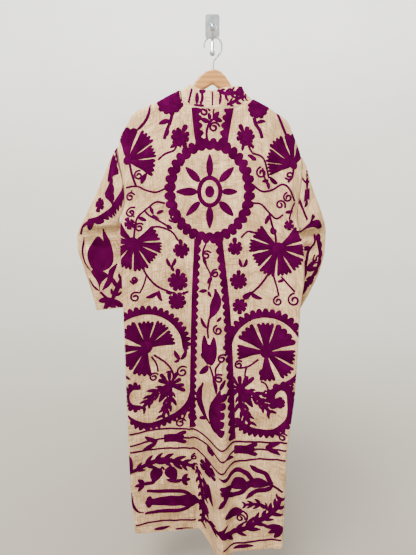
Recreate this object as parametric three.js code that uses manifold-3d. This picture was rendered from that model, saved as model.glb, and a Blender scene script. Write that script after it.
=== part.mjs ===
// A long embroidered robe of cream cotton, hung by a wooden hanger from a chrome wall hook.
// Millimetres, +Z up. The origin is the centre of the hook plate's back face: the wall is the plane y = 0
// and everything hangs in front of it, towards -Y. "out" is the distance in front of the wall.
// The robe shows its back to the room. Left and right are as seen from the room.
import * as THREE from "three";
import { mergeVertices } from "three/addons/utils/BufferGeometryUtils.js";
import Module from "manifold-3d";

const wasm = await Module();
wasm.setup();

// Driving dimensions
const CLOTH = 2; // wall of the cotton with its embroidery
const SEAM = 0.3; // space between two pieces at a seam
const SIDE_SEAM = 0.8; // the same along the bent side folds
const NECK_SEAM = 1.5; // from the neckline to the band's own middle
const ARMHOLE_SEAM = 2.3; // the same between the middles of two curved edges
const RIDGE_SEAM = 1.5; // and along the shoulder
const HANG = 30; // out of the hanger's middle plane
const BAND = 44; // width of the band down the front edges
const BAND_CLOTH = 2.4;

// Small maths
const lerp = (a, b, t) => a + (b - a) * t;
const clamp = (t) => Math.min(1, Math.max(0, t));
const smooth = (t) => clamp(t) ** 2 * (3 - 2 * clamp(t));
const quarterRound = (t) => Math.sqrt(1 - (1 - clamp(t)) ** 2);
const bump = (x, centre, width) => Math.exp(-(((x - centre) / width) ** 2));

// Reads one column of a table by its key column, with an even curve through the rows.
function along(table, key, column, at) {
  const last = table.length - 1;
  const rising = table[last][key] > table[0][key];
  const u = (row) => (rising ? table[row][key] : -table[row][key]);
  const x = rising ? at : -at;
  if (x <= u(0)) return table[0][column];
  if (x >= u(last)) return table[last][column];
  let i = 0;
  while (x > u(i + 1)) i++;
  const value = (row) => table[row][column];
  const slope = (row) => (value(row + 1) - value(row)) / (u(row + 1) - u(row));
  const tangent = (row) => {
    if (row === 0) return slope(0);
    if (row === last) return slope(last - 1);
    const before = slope(row - 1);
    const after = slope(row);
    return before * after <= 0 ? 0 : (2 * before * after) / (before + after);
  };
  const width = u(i + 1) - u(i);
  const t = (x - u(i)) / width;
  const rise = value(i + 1) - value(i);
  const startBend = (1 - t) * (tangent(i) * width - rise);
  const endBend = t * (tangent(i + 1) * width - rise);
  return value(i) + rise * t + t * (1 - t) * (startBend - endBend);
}

// The shoulder ridge, from the left sleeve seam over the hanger to the right one
const RIDGE_LEFT = [
  { x: -251, z: -308 },
  { x: -243, z: -278 },
  { x: -225, z: -250 },
  { x: -206, z: -222 },
  { x: -147, z: -195.5 },
  { x: -84, z: -164 },
];
const RIDGE_RIGHT = [
  { x: 104, z: -187 },
  { x: 143, z: -206 },
  { x: 166, z: -221 },
  { x: 197, z: -241.5 },
  { x: 210, z: -268 },
  { x: 232, z: -316 },
  { x: 238, z: -334 },
];
// The neckline across the back, between the two ends of the ridge
const NECKLINE = [
  { x: -84, z: -164, out: 30 },
  { x: -83.5, z: -167.5, out: 40.5 },
  { x: -82.6, z: -174, out: 43 },
  { x: -81, z: -187, out: 46 },
  { x: -76, z: -199, out: 50 },
  { x: -60, z: -206, out: 53 },
  { x: -27, z: -212, out: 56 },
  { x: 8, z: -213.5, out: 57 },
  { x: 46, z: -212, out: 56 },
  { x: 74, z: -207, out: 53 },
  { x: 93, z: -201, out: 50 },
  { x: 100, z: -195.5, out: 45 },
  { x: 102.5, z: -191.5, out: 42.5 },
  { x: 103.5, z: -188.8, out: 39 },
  { x: 104, z: -187, out: 30 },
];
// The band's free edge behind the neck, by the share of its way round
const NECK_BAND_TOP = [
  { share: 0, x: -60, z: -154.5, out: 30 },
  { share: 0.01, x: -60, z: -154, out: 40.5 },
  { share: 0.05, x: -60, z: -153.5, out: 42.5 },
  { share: 0.11, x: -58, z: -154.5, out: 44.5 },
  { share: 0.2, x: -48, z: -158, out: 46 },
  { share: 0.34, x: -23, z: -167, out: 44 },
  { share: 0.46, x: 2, z: -167.5, out: 43.5 },
  { share: 0.6, x: 30, z: -161, out: 44 },
  { share: 0.74, x: 55, z: -158, out: 45.5 },
  { share: 0.87, x: 73, z: -158.5, out: 44.5 },
  { share: 0.95, x: 76, z: -160.5, out: 42 },
  { share: 0.99, x: 75, z: -162, out: 38.5 },
  { share: 1, x: 74, z: -162.5, out: 30 },
];
// The back's side edges: the armhole, with its other edge at "wallOut", and below it the side seam
const SIDE_LEFT = [
  { z: -308, x: -251, out: 30, wallOut: 30 },
  { z: -325, x: -250, out: 39, wallOut: 22 },
  { z: -386, x: -241, out: 44, wallOut: 18 },
  { z: -430, x: -235, out: 47, wallOut: 23 },
  { z: -460, x: -237, out: 49, wallOut: 36 },
  { z: -486, x: -244, out: 50, wallOut: 50 },
  { z: -560, x: -247, out: 66, wallOut: 66 },
  { z: -717, x: -244, out: 71, wallOut: 71 },
  { z: -907, x: -243, out: 74, wallOut: 74 },
  { z: -1115, x: -242, out: 76, wallOut: 76 },
  { z: -1318, x: -239, out: 74, wallOut: 74 },
  { z: -1457, x: -231, out: 72, wallOut: 72 },
];
const SIDE_RIGHT = [
  { z: -334, x: 238, out: 30, wallOut: 30 },
  { z: -351, x: 239, out: 39, wallOut: 22 },
  { z: -405, x: 237, out: 44, wallOut: 18 },
  { z: -455, x: 231, out: 47, wallOut: 24 },
  { z: -490, x: 229, out: 50, wallOut: 37 },
  { z: -516, x: 231, out: 51, wallOut: 51 },
  { z: -575, x: 246, out: 70, wallOut: 70 },
  { z: -653, x: 247, out: 82, wallOut: 82 },
  { z: -727, x: 238, out: 90, wallOut: 90 },
  { z: -827, x: 234, out: 97, wallOut: 97 },
  { z: -966, x: 228, out: 108, wallOut: 108 },
  { z: -1069, x: 217, out: 116, wallOut: 116 },
  { z: -1174, x: 209, out: 120, wallOut: 120 },
  { z: -1333, x: 208, out: 120, wallOut: 120 },
  { z: -1457, x: 206, out: 120, wallOut: 120 },
];
// The back's big folds by height: where the valley, the middle ridge and the crease beside it run
const FOLD_X = [
  { z: -200, valley: -60, ridge: 8, crease: 74 },
  { z: -480, valley: -62, ridge: 12, crease: 70 },
  { z: -700, valley: -64, ridge: 18, crease: 60 },
  { z: -850, valley: -60, ridge: 22, crease: 59 },
  { z: -1000, valley: -56, ridge: 25, crease: 63 },
  { z: -1115, valley: -52, ridge: 27, crease: 67 },
  { z: -1300, valley: -42, ridge: 28, crease: 70 },
  { z: -1460, valley: -39, ridge: 28, crease: 69 },
];
// and how far out they stand, with the flat stretches to their left and right
const FOLD_OUT = [
  { z: -200, left: 44, valley: 54, ridge: 57, crease: 54, right: 44 },
  { z: -480, left: 55, valley: 60, ridge: 64, crease: 62, right: 58 },
  { z: -700, left: 65, valley: 62, ridge: 76, crease: 68, right: 76 },
  { z: -850, left: 67, valley: 56, ridge: 98, crease: 80, right: 90 },
  { z: -1000, left: 67, valley: 50, ridge: 126, crease: 96, right: 103 },
  { z: -1115, left: 63, valley: 47, ridge: 144, crease: 107, right: 110 },
  { z: -1300, left: 58, valley: 45, ridge: 146, crease: 112, right: 112 },
  { z: -1460, left: 56, valley: 43, ridge: 146, crease: 115, right: 113 },
];
// The back's hem and the fronts' hem
const HEM = [
  { x: -231, z: -1437 },
  { x: -181, z: -1451 },
  { x: -120, z: -1456 },
  { x: -46, z: -1455 },
  { x: 28, z: -1474 },
  { x: 68, z: -1468 },
  { x: 140, z: -1463 },
  { x: 206, z: -1447 },
];
const FRONT_HEM = -1456; // the fronts' hem beside the band
// The fronts' inner edges, where the band is sewn on
const FRONT_EDGE = [
  { z: -160, left: -84, right: 104 },
  { z: -300, left: -74, right: 88 },
  { z: -480, left: -58, right: 66 },
  { z: -800, left: -54, right: 60 },
  { z: -1470, left: -56, right: 60 },
];
// How far the fronts hang out from the wall: behind the back's edges, and in the middle
const FRONT_OUT = [
  { z: -160, side: 18.5, middle: 18.5 },
  { z: -420, side: 19, middle: 17 },
  { z: -500, side: 47, middle: 18 },
  { z: -600, side: 59, middle: 20 },
  { z: -780, side: 59, middle: 22 },
  { z: -900, side: 50, middle: 22 },
  { z: -1150, side: 34, middle: 20 },
  { z: -1470, side: 30, middle: 20 },
];

// Sleeves: rings from the armhole to the cuff. Each ring has an upper and a lower end, and a room-side and a
// wall-side face that hang "front" and "back" out from the wall.
const SLEEVE_LEFT = [
  { share: 0.0, topX: -251, topZ: -308, lowX: -244, lowZ: -486, topOut: 30, lowOut: 52, front: 48, back: 18 },
  { share: 0.08, topX: -267, topZ: -331, lowX: -249, lowZ: -492, topOut: 31, lowOut: 50, front: 51, back: 17 },
  { share: 0.22, topX: -298, topZ: -398, lowX: -255, lowZ: -500, topOut: 33, lowOut: 47, front: 56, back: 15 },
  { share: 0.36, topX: -330, topZ: -462, lowX: -254, lowZ: -506, topOut: 34, lowOut: 44, front: 58, back: 14 },
  { share: 0.47, topX: -357, topZ: -511, lowX: -251, lowZ: -513, topOut: 33, lowOut: 35, front: 58, back: 13 },
  { share: 0.53, topX: -373, topZ: -545, lowX: -240, lowZ: -526, topOut: 28, lowOut: 28, front: 42, back: 12 },
  { share: 0.62, topX: -374, topZ: -580, lowX: -219, lowZ: -560, topOut: 26, lowOut: 28, front: 38, back: 12 },
  { share: 0.76, topX: -360, topZ: -637, lowX: -198, lowZ: -625, topOut: 25, lowOut: 28, front: 39, back: 11 },
  { share: 0.9, topX: -341, topZ: -706, lowX: -176, lowZ: -690, topOut: 25, lowOut: 28, front: 40, back: 11 },
  { share: 1.0, topX: -330, topZ: -756, lowX: -166, lowZ: -735, topOut: 25, lowOut: 28, front: 40, back: 12 },
];
const SLEEVE_RIGHT = [
  { share: 0.0, topX: 238, topZ: -334, lowX: 229, lowZ: -516, topOut: 30, lowOut: 53, front: 48, back: 18 },
  { share: 0.08, topX: 250, topZ: -356, lowX: 233, lowZ: -520, topOut: 31, lowOut: 51, front: 51, back: 17 },
  { share: 0.22, topX: 269, topZ: -412, lowX: 238, lowZ: -522, topOut: 33, lowOut: 48, front: 55, back: 15 },
  { share: 0.36, topX: 289, topZ: -460, lowX: 241, lowZ: -526, topOut: 34, lowOut: 43, front: 57, back: 14 },
  { share: 0.47, topX: 305, topZ: -502, lowX: 239, lowZ: -532, topOut: 33, lowOut: 35, front: 56, back: 13 },
  { share: 0.53, topX: 314, topZ: -537, lowX: 231, lowZ: -543, topOut: 28, lowOut: 28, front: 42, back: 12 },
  { share: 0.62, topX: 314, topZ: -580, lowX: 206, lowZ: -575, topOut: 26, lowOut: 28, front: 38, back: 12 },
  { share: 0.76, topX: 303, topZ: -640, lowX: 165, lowZ: -640, topOut: 25, lowOut: 28, front: 39, back: 11 },
  { share: 0.9, topX: 278, topZ: -702, lowX: 128, lowZ: -715, topOut: 25, lowOut: 28, front: 40, back: 11 },
  { share: 1.0, topX: 246, topZ: -764, lowX: 96, lowZ: -775, topOut: 25, lowOut: 28, front: 40, back: 12 },
];

// The side folds are round below the armhole; above it the cloth goes on flat into the sleeve
const SIDE_ROUND = 9;
const armholeEnd = (table) => table.find((row) => row.z < -400 && row.out === row.wallOut).z;
const wallEdge = (table, z) => along(table, "z", z > armholeEnd(table) ? "wallOut" : "out", z);
const roundShare = (table, z) => Math.max(0.04, smooth((armholeEnd(table) + 40 - z) / 40));

// The room-side surface of the back at a height: its section, from the left side seam to the right one
function backSection(z) {
  const foldOut = (column) => along(FOLD_OUT, "z", column, z);
  const foldLine = (column) => ({ x: along(FOLD_X, "z", column, z), out: foldOut(column) });
  const left = { x: along(SIDE_LEFT, "z", "x", z), out: along(SIDE_LEFT, "z", "out", z) };
  const right = { x: along(SIDE_RIGHT, "z", "x", z), out: along(SIDE_RIGHT, "z", "out", z) };
  const valley = foldLine("valley");
  const ridge = foldLine("ridge");
  const crease = foldLine("crease");
  const roundLeft = SIDE_ROUND * roundShare(SIDE_LEFT, z);
  const roundRight = SIDE_ROUND * roundShare(SIDE_RIGHT, z);
  return [
    { x: left.x + roundLeft, out: left.out + 0.8 * roundLeft },
    { x: lerp(left.x, valley.x, 0.34), out: foldOut("left") + 3 },
    { x: lerp(left.x, valley.x, 0.72), out: lerp(foldOut("left"), valley.out, 0.75) },
    valley,
    { x: lerp(valley.x, ridge.x, 0.5), out: lerp(valley.out, ridge.out, 0.45) },
    ridge,
    crease,
    { x: lerp(crease.x, right.x, 0.35), out: lerp(crease.out, foldOut("right"), 0.4) },
    { x: lerp(crease.x, right.x, 0.7), out: foldOut("right") + 2 },
    { x: right.x - roundRight, out: right.out + 0.8 * roundRight },
  ];
}

const SECTION_STEPS = 120;
const sectionCache = new Map();

// The section as even steps along the cloth, so that a share of the way across is a share of the cut's width
function backSteps(z) {
  const key = Math.round(z * 8) / 8;
  if (sectionCache.has(key)) return sectionCache.get(key);
  const points = backSection(key);
  const steps = [];
  for (let i = 0; i <= SECTION_STEPS; i++) {
    const x = lerp(points[0].x, points[points.length - 1].x, i / SECTION_STEPS);
    steps.push({ x, out: along(points, "x", "out", x) });
  }
  const left = { x: along(SIDE_LEFT, "z", "x", key), out: along(SIDE_LEFT, "z", "out", key) };
  const right = { x: along(SIDE_RIGHT, "z", "x", key), out: along(SIDE_RIGHT, "z", "out", key) };
  const round = (side, inner) =>
    [1, 0.85, 0.6, 0.3].map((a) => ({
      x: lerp(inner.x, side.x, quarterRound(a)),
      out: lerp(side.out, inner.out, quarterRound(1 - a)),
    }));
  const path = [...round(left, steps[0]), ...steps, ...round(right, steps[SECTION_STEPS]).reverse()];
  let length = 0;
  const measured = path.map((p, i) => {
    if (i) length += Math.hypot(p.x - path[i - 1].x, p.out - path[i - 1].out);
    return { s: length, x: p.x, out: p.out };
  });
  for (const p of measured) p.s /= length;
  sectionCache.set(key, measured);
  return measured;
}

function sample(steps, s) {
  let low = 0;
  let high = steps.length - 1;
  while (high - low > 1) {
    const middle = (low + high) >> 1;
    if (steps[middle].s <= s) low = middle;
    else high = middle;
  }
  const t = clamp((s - steps[low].s) / (steps[high].s - steps[low].s || 1));
  return { x: lerp(steps[low].x, steps[high].x, t), out: lerp(steps[low].out, steps[high].out, t) };
}

const neckLeft = NECKLINE[0];
const neckRight = NECKLINE[NECKLINE.length - 1];

// Height of the back's top edge at x, on the ridge or the neckline
function backTop(x) {
  if (x <= neckLeft.x) return along(RIDGE_LEFT, "x", "z", x);
  if (x >= neckRight.x) return along(RIDGE_RIGHT, "x", "z", x);
  return along(NECKLINE, "x", "z", x);
}

function backTopOut(x) {
  return x <= neckLeft.x || x >= neckRight.x ? HANG : along(NECKLINE, "x", "out", x);
}

// How far the bend over the hanger reaches down, nothing at the neckline
function bendReach(x) {
  return x <= neckLeft.x || x >= neckRight.x ? 15 : 9;
}

// A point of the back by its share across and its share down
function backPoint(across, down) {
  let top = -260;
  for (let turn = 0; turn < 14; turn++) top = backTop(sample(backSteps(top), across).x);
  const topX = sample(backSteps(top), across).x;
  const bottom = along(HEM, "x", "z", sample(backSteps(-1455), across).x);
  const z = lerp(top, bottom, down);
  const p = sample(backSteps(z), across);
  const bend = quarterRound((top - z) / bendReach(topX));
  const soften = smooth((z + 700) / 300);
  const hollow = 5 * soften * (bump(p.x, -175, 26) + bump(p.x, 178, 24)) * smooth((top - z) / 60);
  const pull = 3 * bump(z, -400, 130) * (bump(p.x, -120, 30) + bump(p.x, 125, 32));
  const out = lerp(backTopOut(topX), p.out - hollow + pull, bend);
  return new THREE.Vector3(p.x, -out, z);
}

// A point of a front, from its side seam (0) to its band seam (1)
function frontPoint(side, across, down) {
  const seam = side === "left" ? SIDE_LEFT : SIDE_RIGHT;
  const ridge = side === "left" ? RIDGE_LEFT : RIDGE_RIGHT;
  const edgeX = (z) => along(seam, "z", "x", z);
  const innerX = (z) => along(FRONT_EDGE, "z", side, z);
  const xAt = (z) => lerp(edgeX(z), innerX(z), across);
  let top = -250;
  for (let turn = 0; turn < 14; turn++) top = along(ridge, "x", "z", xAt(top));
  const seamHem = along(HEM, "x", "z", edgeX(-1455));
  const bottom = lerp(seamHem, FRONT_HEM, smooth(across * 2));
  const z = lerp(top, bottom, down);
  const x = xAt(z);
  const seamOut = wallEdge(seam, z) - SIDE_SEAM;
  const reach = Math.abs(x - edgeX(z));
  const sideShare = smooth(1 - (reach - 95) / 75);
  let out = lerp(along(FRONT_OUT, "z", "middle", z), along(FRONT_OUT, "z", "side", z), sideShare);
  const wave = 5 * smooth((-z - 700) / 500);
  out += wave * (bump(reach, 70, 22) - 0.6 * bump(reach, 125, 20));
  const sideBend = quarterRound(reach / 10);
  const topBend = quarterRound((top - z) / 8);
  out = lerp(seamOut, out, sideBend);
  return new THREE.Vector3(x, -lerp(HANG - RIDGE_SEAM, out, topBend), z);
}

// A point of a sleeve: share along it, and angle round it, 0 at the upper end and rising over the room side.
// The first ring lies on the armhole, and the sleeve eases from there into its own rings.
function sleevePoint(side, share, angle) {
  const table = side === "left" ? SLEEVE_LEFT : SLEEVE_RIGHT;
  const seam = side === "left" ? SIDE_LEFT : SIDE_RIGHT;
  const outward = side === "left" ? -1 : 1;
  const t = (1 - Math.cos(angle)) / 2;
  const roomSide = Math.sin(angle) >= 0;
  const swell = Math.abs(Math.sin(angle)) ** 0.6;
  const ring = (at) => {
    const read = (column) => along(table, "share", column, at);
    const middle = lerp(read("topOut"), read("lowOut"), t);
    const out = lerp(middle, read(roomSide ? "front" : "back"), swell);
    return new THREE.Vector3(lerp(read("topX"), read("lowX"), t), -out, lerp(read("topZ"), read("lowZ"), t));
  };
  const start = ring(0);
  const armhole = new THREE.Vector3(
    along(seam, "z", "x", start.z) + outward * ARMHOLE_SEAM,
    -(roomSide ? along(seam, "z", "out", start.z) : wallEdge(seam, start.z)),
    start.z,
  );
  const ease = 1 - smooth(share / 0.2);
  return ring(share).addScaledVector(armhole.sub(start), ease);
}

// A point of the band behind the neck, from its seam (up 0) to its free edge (up 1)
function neckBandPoint(share, up) {
  const onSeam = (at) => {
    const x = lerp(neckLeft.x, neckRight.x, clamp(at));
    return new THREE.Vector3(x, -along(NECKLINE, "x", "out", x), along(NECKLINE, "x", "z", x));
  };
  const seam = onSeam(share);
  const run = onSeam(share + 0.004).sub(onSeam(share - 0.004));
  const away = new THREE.Vector3(-run.z, 0, run.x).normalize();
  seam.addScaledVector(away, NECK_SEAM);
  const read = (column) => along(NECK_BAND_TOP, "share", column, share);
  const free = new THREE.Vector3(read("x"), -read("out"), read("z"));
  const point = seam.lerp(free, up);
  point.y -= 3 * Math.sin(Math.PI * up) * Math.sin(Math.PI * share);
  return point;
}

// A point of the band down a front, from its seam (across 0) to its free edge (across 1)
function frontBandPoint(side, across, down) {
  const inward = side === "left" ? 1 : -1;
  const seam = frontPoint(side, 1, down);
  seam.x += inward * 3 * SEAM;
  const end = NECK_BAND_TOP[side === "left" ? 0 : NECK_BAND_TOP.length - 1];
  const z = lerp(end.z, FRONT_HEM, down);
  const drop = end.z - z;
  const x = lerp(end.x, along(FRONT_EDGE, "z", side, z) + inward * BAND, smooth(drop / 140));
  const out = lerp(HANG - RIDGE_SEAM, along(FRONT_OUT, "z", "middle", z) - 1.5, quarterRound(drop / 8));
  return seam.lerp(new THREE.Vector3(x, -out, z), across);
}

// Two shares close to one of a list, to read the surface's slope between them
function nearby(shares, i) {
  const edge = 0.0001;
  if (i === 0) return [shares[0], shares[0] + edge];
  if (i === shares.length - 1) return [shares[i] - edge, shares[i]];
  const reach = 0.3 * Math.min(shares[i] - shares[i - 1], shares[i + 1] - shares[i]);
  return [shares[i] - reach, shares[i] + reach];
}

// Turns a surface into a cloth wall. rows and columns are shares; closed columns make a tube.
function clothWall(name, point, rows, columns, thickness, closed, material) {
  const half = thickness / 2;
  const count = columns.length;
  const outer = [];
  const inner = [];
  for (let r = 0; r < rows.length; r++) {
    for (let c = 0; c < count; c++) {
      const [c0, c1] = closed ? [columns[c] - 0.01, columns[c] + 0.01] : nearby(columns, c);
      const [r0, r1] = nearby(rows, r);
      const across = point(c1, rows[r]).sub(point(c0, rows[r]));
      const down = point(columns[c], r1).sub(point(columns[c], r0));
      const normal = across.cross(down).normalize();
      const p = point(columns[c], rows[r]);
      outer.push(p.clone().addScaledVector(normal, half));
      inner.push(p.clone().addScaledVector(normal, -half));
    }
  }
  const positions = [];
  const add = (a, b, c) => positions.push(a.x, a.y, a.z, b.x, b.y, b.z, c.x, c.y, c.z);
  const quad = (a, b, c, d) => {
    const even = a.distanceTo(c) <= b.distanceTo(d);
    if (even) {
      add(a, b, c);
      add(a, c, d);
    } else {
      add(a, b, d);
      add(b, c, d);
    }
  };
  const spans = closed ? count : count - 1;
  const at = (list, row, column) => list[row * count + (column % count)];
  for (let r = 0; r < rows.length - 1; r++) {
    for (let c = 0; c < spans; c++) {
      quad(at(outer, r, c), at(outer, r, c + 1), at(outer, r + 1, c + 1), at(outer, r + 1, c));
      quad(at(inner, r, c), at(inner, r + 1, c), at(inner, r + 1, c + 1), at(inner, r, c + 1));
    }
  }
  for (let c = 0; c < spans; c++) {
    const end = rows.length - 1;
    quad(at(outer, 0, c), at(inner, 0, c), at(inner, 0, c + 1), at(outer, 0, c + 1));
    quad(at(outer, end, c), at(outer, end, c + 1), at(inner, end, c + 1), at(inner, end, c));
  }
  if (!closed) {
    for (let r = 0; r < rows.length - 1; r++) {
      const end = count - 1;
      quad(at(outer, r, 0), at(outer, r + 1, 0), at(inner, r + 1, 0), at(inner, r, 0));
      quad(at(outer, r, end), at(inner, r, end), at(inner, r + 1, end), at(outer, r + 1, end));
    }
  }
  return solidMesh(name, positions, material);
}

// A closed named mesh from triangle corners, turned to face out
function solidMesh(name, positions, material) {
  const soup = new THREE.BufferGeometry();
  soup.setAttribute("position", new THREE.Float32BufferAttribute(positions, 3));
  const merged = mergeVertices(soup, 1e-4);
  const index = merged.index.array;
  const p = merged.attributes.position;
  let volume = 0;
  const [a, b, c] = [new THREE.Vector3(), new THREE.Vector3(), new THREE.Vector3()];
  for (let i = 0; i < index.length; i += 3) {
    a.fromBufferAttribute(p, index[i]);
    b.fromBufferAttribute(p, index[i + 1]);
    c.fromBufferAttribute(p, index[i + 2]);
    volume += a.dot(b.cross(c));
  }
  if (volume < 0) {
    for (let i = 0; i < index.length; i += 3) [index[i + 1], index[i + 2]] = [index[i + 2], index[i + 1]];
  }
  merged.computeVertexNormals();
  const mesh = new THREE.Mesh(merged, material);
  mesh.name = name;
  return mesh;
}

// Booleans, for the join of the prongs and the bore in the hanger
function toSolid(geometry) {
  const plain = geometry.index ? geometry.toNonIndexed() : geometry.clone();
  plain.deleteAttribute("normal");
  plain.deleteAttribute("uv");
  const merged = mergeVertices(plain, 1e-4);
  return new wasm.Manifold(
    new wasm.Mesh({
      numProp: 3,
      vertProperties: merged.attributes.position.array,
      triVerts: new Uint32Array(merged.index.array),
    }),
  );
}

function fromSolid(solid) {
  const mesh = solid.getMesh();
  const geometry = new THREE.BufferGeometry();
  geometry.setAttribute("position", new THREE.BufferAttribute(mesh.vertProperties, 3));
  geometry.setIndex(new THREE.BufferAttribute(mesh.triVerts, 1));
  geometry.computeVertexNormals();
  return geometry;
}

function namedMesh(name, geometry, material) {
  const mesh = new THREE.Mesh(geometry, material);
  mesh.name = name;
  return mesh;
}

// A round bar along a curve
function bar(curve, radius, steps, sides) {
  const section = new THREE.Shape();
  for (let i = 0; i < sides; i++) {
    const angle = (2 * Math.PI * (i + 0.5)) / sides;
    const corner = [radius * Math.cos(angle), radius * Math.sin(angle)];
    if (i) section.lineTo(...corner);
    else section.moveTo(...corner);
  }
  section.closePath();
  return new THREE.ExtrudeGeometry(section, { steps, extrudePath: curve, bevelEnabled: false });
}

// Materials
const cotton = new THREE.MeshStandardMaterial({ color: 0xe6dcc2, roughness: 0.9, metalness: 0 });
const wood = new THREE.MeshStandardMaterial({ color: 0xb98a5a, roughness: 0.5, metalness: 0 });
const chrome = new THREE.MeshStandardMaterial({ color: 0xb9c2cc, roughness: 0.15, metalness: 1 });

// Even shares from 0 to 1, and rows that are closer together over the bend at the top
const evenShares = (count) => Array.from({ length: count + 1 }, (_, i) => i / count);
const between = (from, to, count) => evenShares(count).slice(1).map((t) => lerp(from, to, t));
const BEND_ROWS = [0, 0.0012, 0.0035, 0.007, 0.0125];
const ARMHOLE_SHARE = 0.16; // the armhole's lowest point, as a share of the side edge
const bodyShares = [...BEND_ROWS, ...between(0.0125, ARMHOLE_SHARE, 7), ...between(ARMHOLE_SHARE, 1, 17)];
const NECK_SHARES = [0, 0.005, 0.014, 0.04, 0.085, 0.14];
const neckShares = [
  ...NECK_SHARES,
  ...between(0.14, 0.86, 12).slice(0, -1),
  ...NECK_SHARES.map((t) => 1 - t).reverse(),
];
const EDGE_COLUMNS = [0, 0.0035, 0.009, 0.0185, 0.031];

// The share across the back whose top point lies at x
function shareAtTop(x) {
  let [low, high] = [0, 1];
  for (let turn = 0; turn < 40; turn++) {
    const middle = (low + high) / 2;
    if (backPoint(middle, 0).x < x) low = middle;
    else high = middle;
  }
  return high;
}
const neckStart = shareAtTop(neckLeft.x);
const neckEnd = shareAtTop(neckRight.x);
const backColumns = [
  ...EDGE_COLUMNS,
  ...between(0.031, neckStart, 8).slice(0, -1),
  ...neckShares.map((t) => lerp(neckStart, neckEnd, t)),
  ...between(neckEnd, 0.969, 6).slice(0, -1),
  ...EDGE_COLUMNS.map((t) => 1 - t).reverse(),
];
const SLEEVE_ROWS = [0, ...between(0, 0.36, 7), ...between(0.36, 0.6, 6), ...between(0.6, 1, 5)];
const frontColumns = [0, 0.008, 0.022, 0.05, ...evenShares(9).slice(1).map((t) => lerp(0.05, 1, t))];

// The robe
const robe = new THREE.Group();
robe.add(clothWall("body_back", backPoint, bodyShares, backColumns, CLOTH, false, cotton));
for (const side of ["left", "right"]) {
  const front = (across, down) => frontPoint(side, across, down);
  robe.add(clothWall(`body_front_${side}`, front, bodyShares, frontColumns, CLOTH, false, cotton));
  const band = (across, down) => frontBandPoint(side, across, down);
  robe.add(clothWall(`front_band_${side}`, band, bodyShares, evenShares(2), BAND_CLOTH, false, cotton));
  const ring = (turn, share) => sleevePoint(side, share, turn * 2 * Math.PI);
  const turns = evenShares(22).slice(0, -1);
  robe.add(clothWall(`sleeve_${side}`, ring, SLEEVE_ROWS, turns, CLOTH, true, cotton));
}
robe.add(clothWall("neck_band", neckBandPoint, evenShares(4), neckShares, BAND_CLOTH, false, cotton));

// The wooden hanger: an arched middle and two straight arms, hanging a little lower on the right
const HANGER_TILT = 3; // degrees
const HANGER_THICK = 14;
const HANGER_ROUND = 5;
const ARM_RISE = -83.4; // how far the arms' upper line bows up to the cloth
const neckTop = new THREE.Vector3(2.6, -HANG, -111.5);
const HOOK_WIRE = 1.75;
function hangerWood() {
  const r = HANGER_ROUND;
  const outline = new THREE.Shape();
  outline.moveTo(0, -r);
  outline.bezierCurveTo(22, -r - 1, 38, -28, 50, -46 - r);
  outline.bezierCurveTo(62, -56 - r, 120, ARM_RISE, 188, -123 - r);
  outline.bezierCurveTo(198, -129 - r, 198, -139, 188, -141 + r * 0.4);
  outline.bezierCurveTo(150, -122, 70, -82, 30, -56 + r);
  outline.bezierCurveTo(16, -49 + r, 8, -40 + r, 0, -38 + r);
  outline.bezierCurveTo(-8, -40 + r, -16, -49 + r, -30, -56 + r);
  outline.bezierCurveTo(-70, -82, -150, -122, -188, -141 + r * 0.4);
  outline.bezierCurveTo(-198, -139, -198, -129 - r, -188, -123 - r);
  outline.bezierCurveTo(-120, ARM_RISE, -62, -56 - r, -50, -46 - r);
  outline.bezierCurveTo(-38, -28, -22, -r - 1, 0, -r);
  const wide = new THREE.ExtrudeGeometry(outline, {
    depth: HANGER_THICK - 2 * r,
    bevelEnabled: true,
    bevelThickness: r,
    bevelSize: r,
    bevelSegments: 2,
    curveSegments: 4,
  });
  wide.translate(0, 0, -HANGER_THICK / 2 + r);
  wide.rotateX(Math.PI / 2);
  const bore = new THREE.CylinderGeometry(HOOK_WIRE + 0.35, HOOK_WIRE + 0.35, 40, 12);
  bore.rotateX(Math.PI / 2);
  bore.translate(0, 0, 0);
  wide.rotateY((HANGER_TILT * Math.PI) / 180);
  return fromSolid(toSolid(wide).subtract(toSolid(bore)));
}
const hanger = new THREE.Group();
hanger.position.copy(neckTop);
hanger.add(namedMesh("hanger_wood", hangerWood(), wood));

// The wire hook: a round loop over the prong, a slant back to the middle and a stem into the wood
const LOOP_CENTRE = new THREE.Vector3(1.3, -HANG, -57.8);
const LOOP_RADIUS = 22.9;
function hookCurve() {
  const points = [];
  for (let degrees = 188; degrees >= -12; degrees -= 20) {
    const angle = (degrees * Math.PI) / 180;
    points.push(
      new THREE.Vector3(
        LOOP_CENTRE.x + LOOP_RADIUS * Math.cos(angle),
        LOOP_CENTRE.y,
        LOOP_CENTRE.z + LOOP_RADIUS * Math.sin(angle),
      ),
    );
  }
  points.push(new THREE.Vector3(22.2, -HANG, -71), new THREE.Vector3(13, -HANG, -82));
  points.push(new THREE.Vector3(5, -HANG, -92), new THREE.Vector3(neckTop.x, -HANG, -100));
  points.push(new THREE.Vector3(neckTop.x, -HANG, -112), new THREE.Vector3(neckTop.x, -HANG, -128));
  return new THREE.CatmullRomCurve3(points, false, "centripetal");
}
robe.add(namedMesh("hanger_hook", bar(hookCurve(), HOOK_WIRE, 48, 8), chrome));

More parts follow.
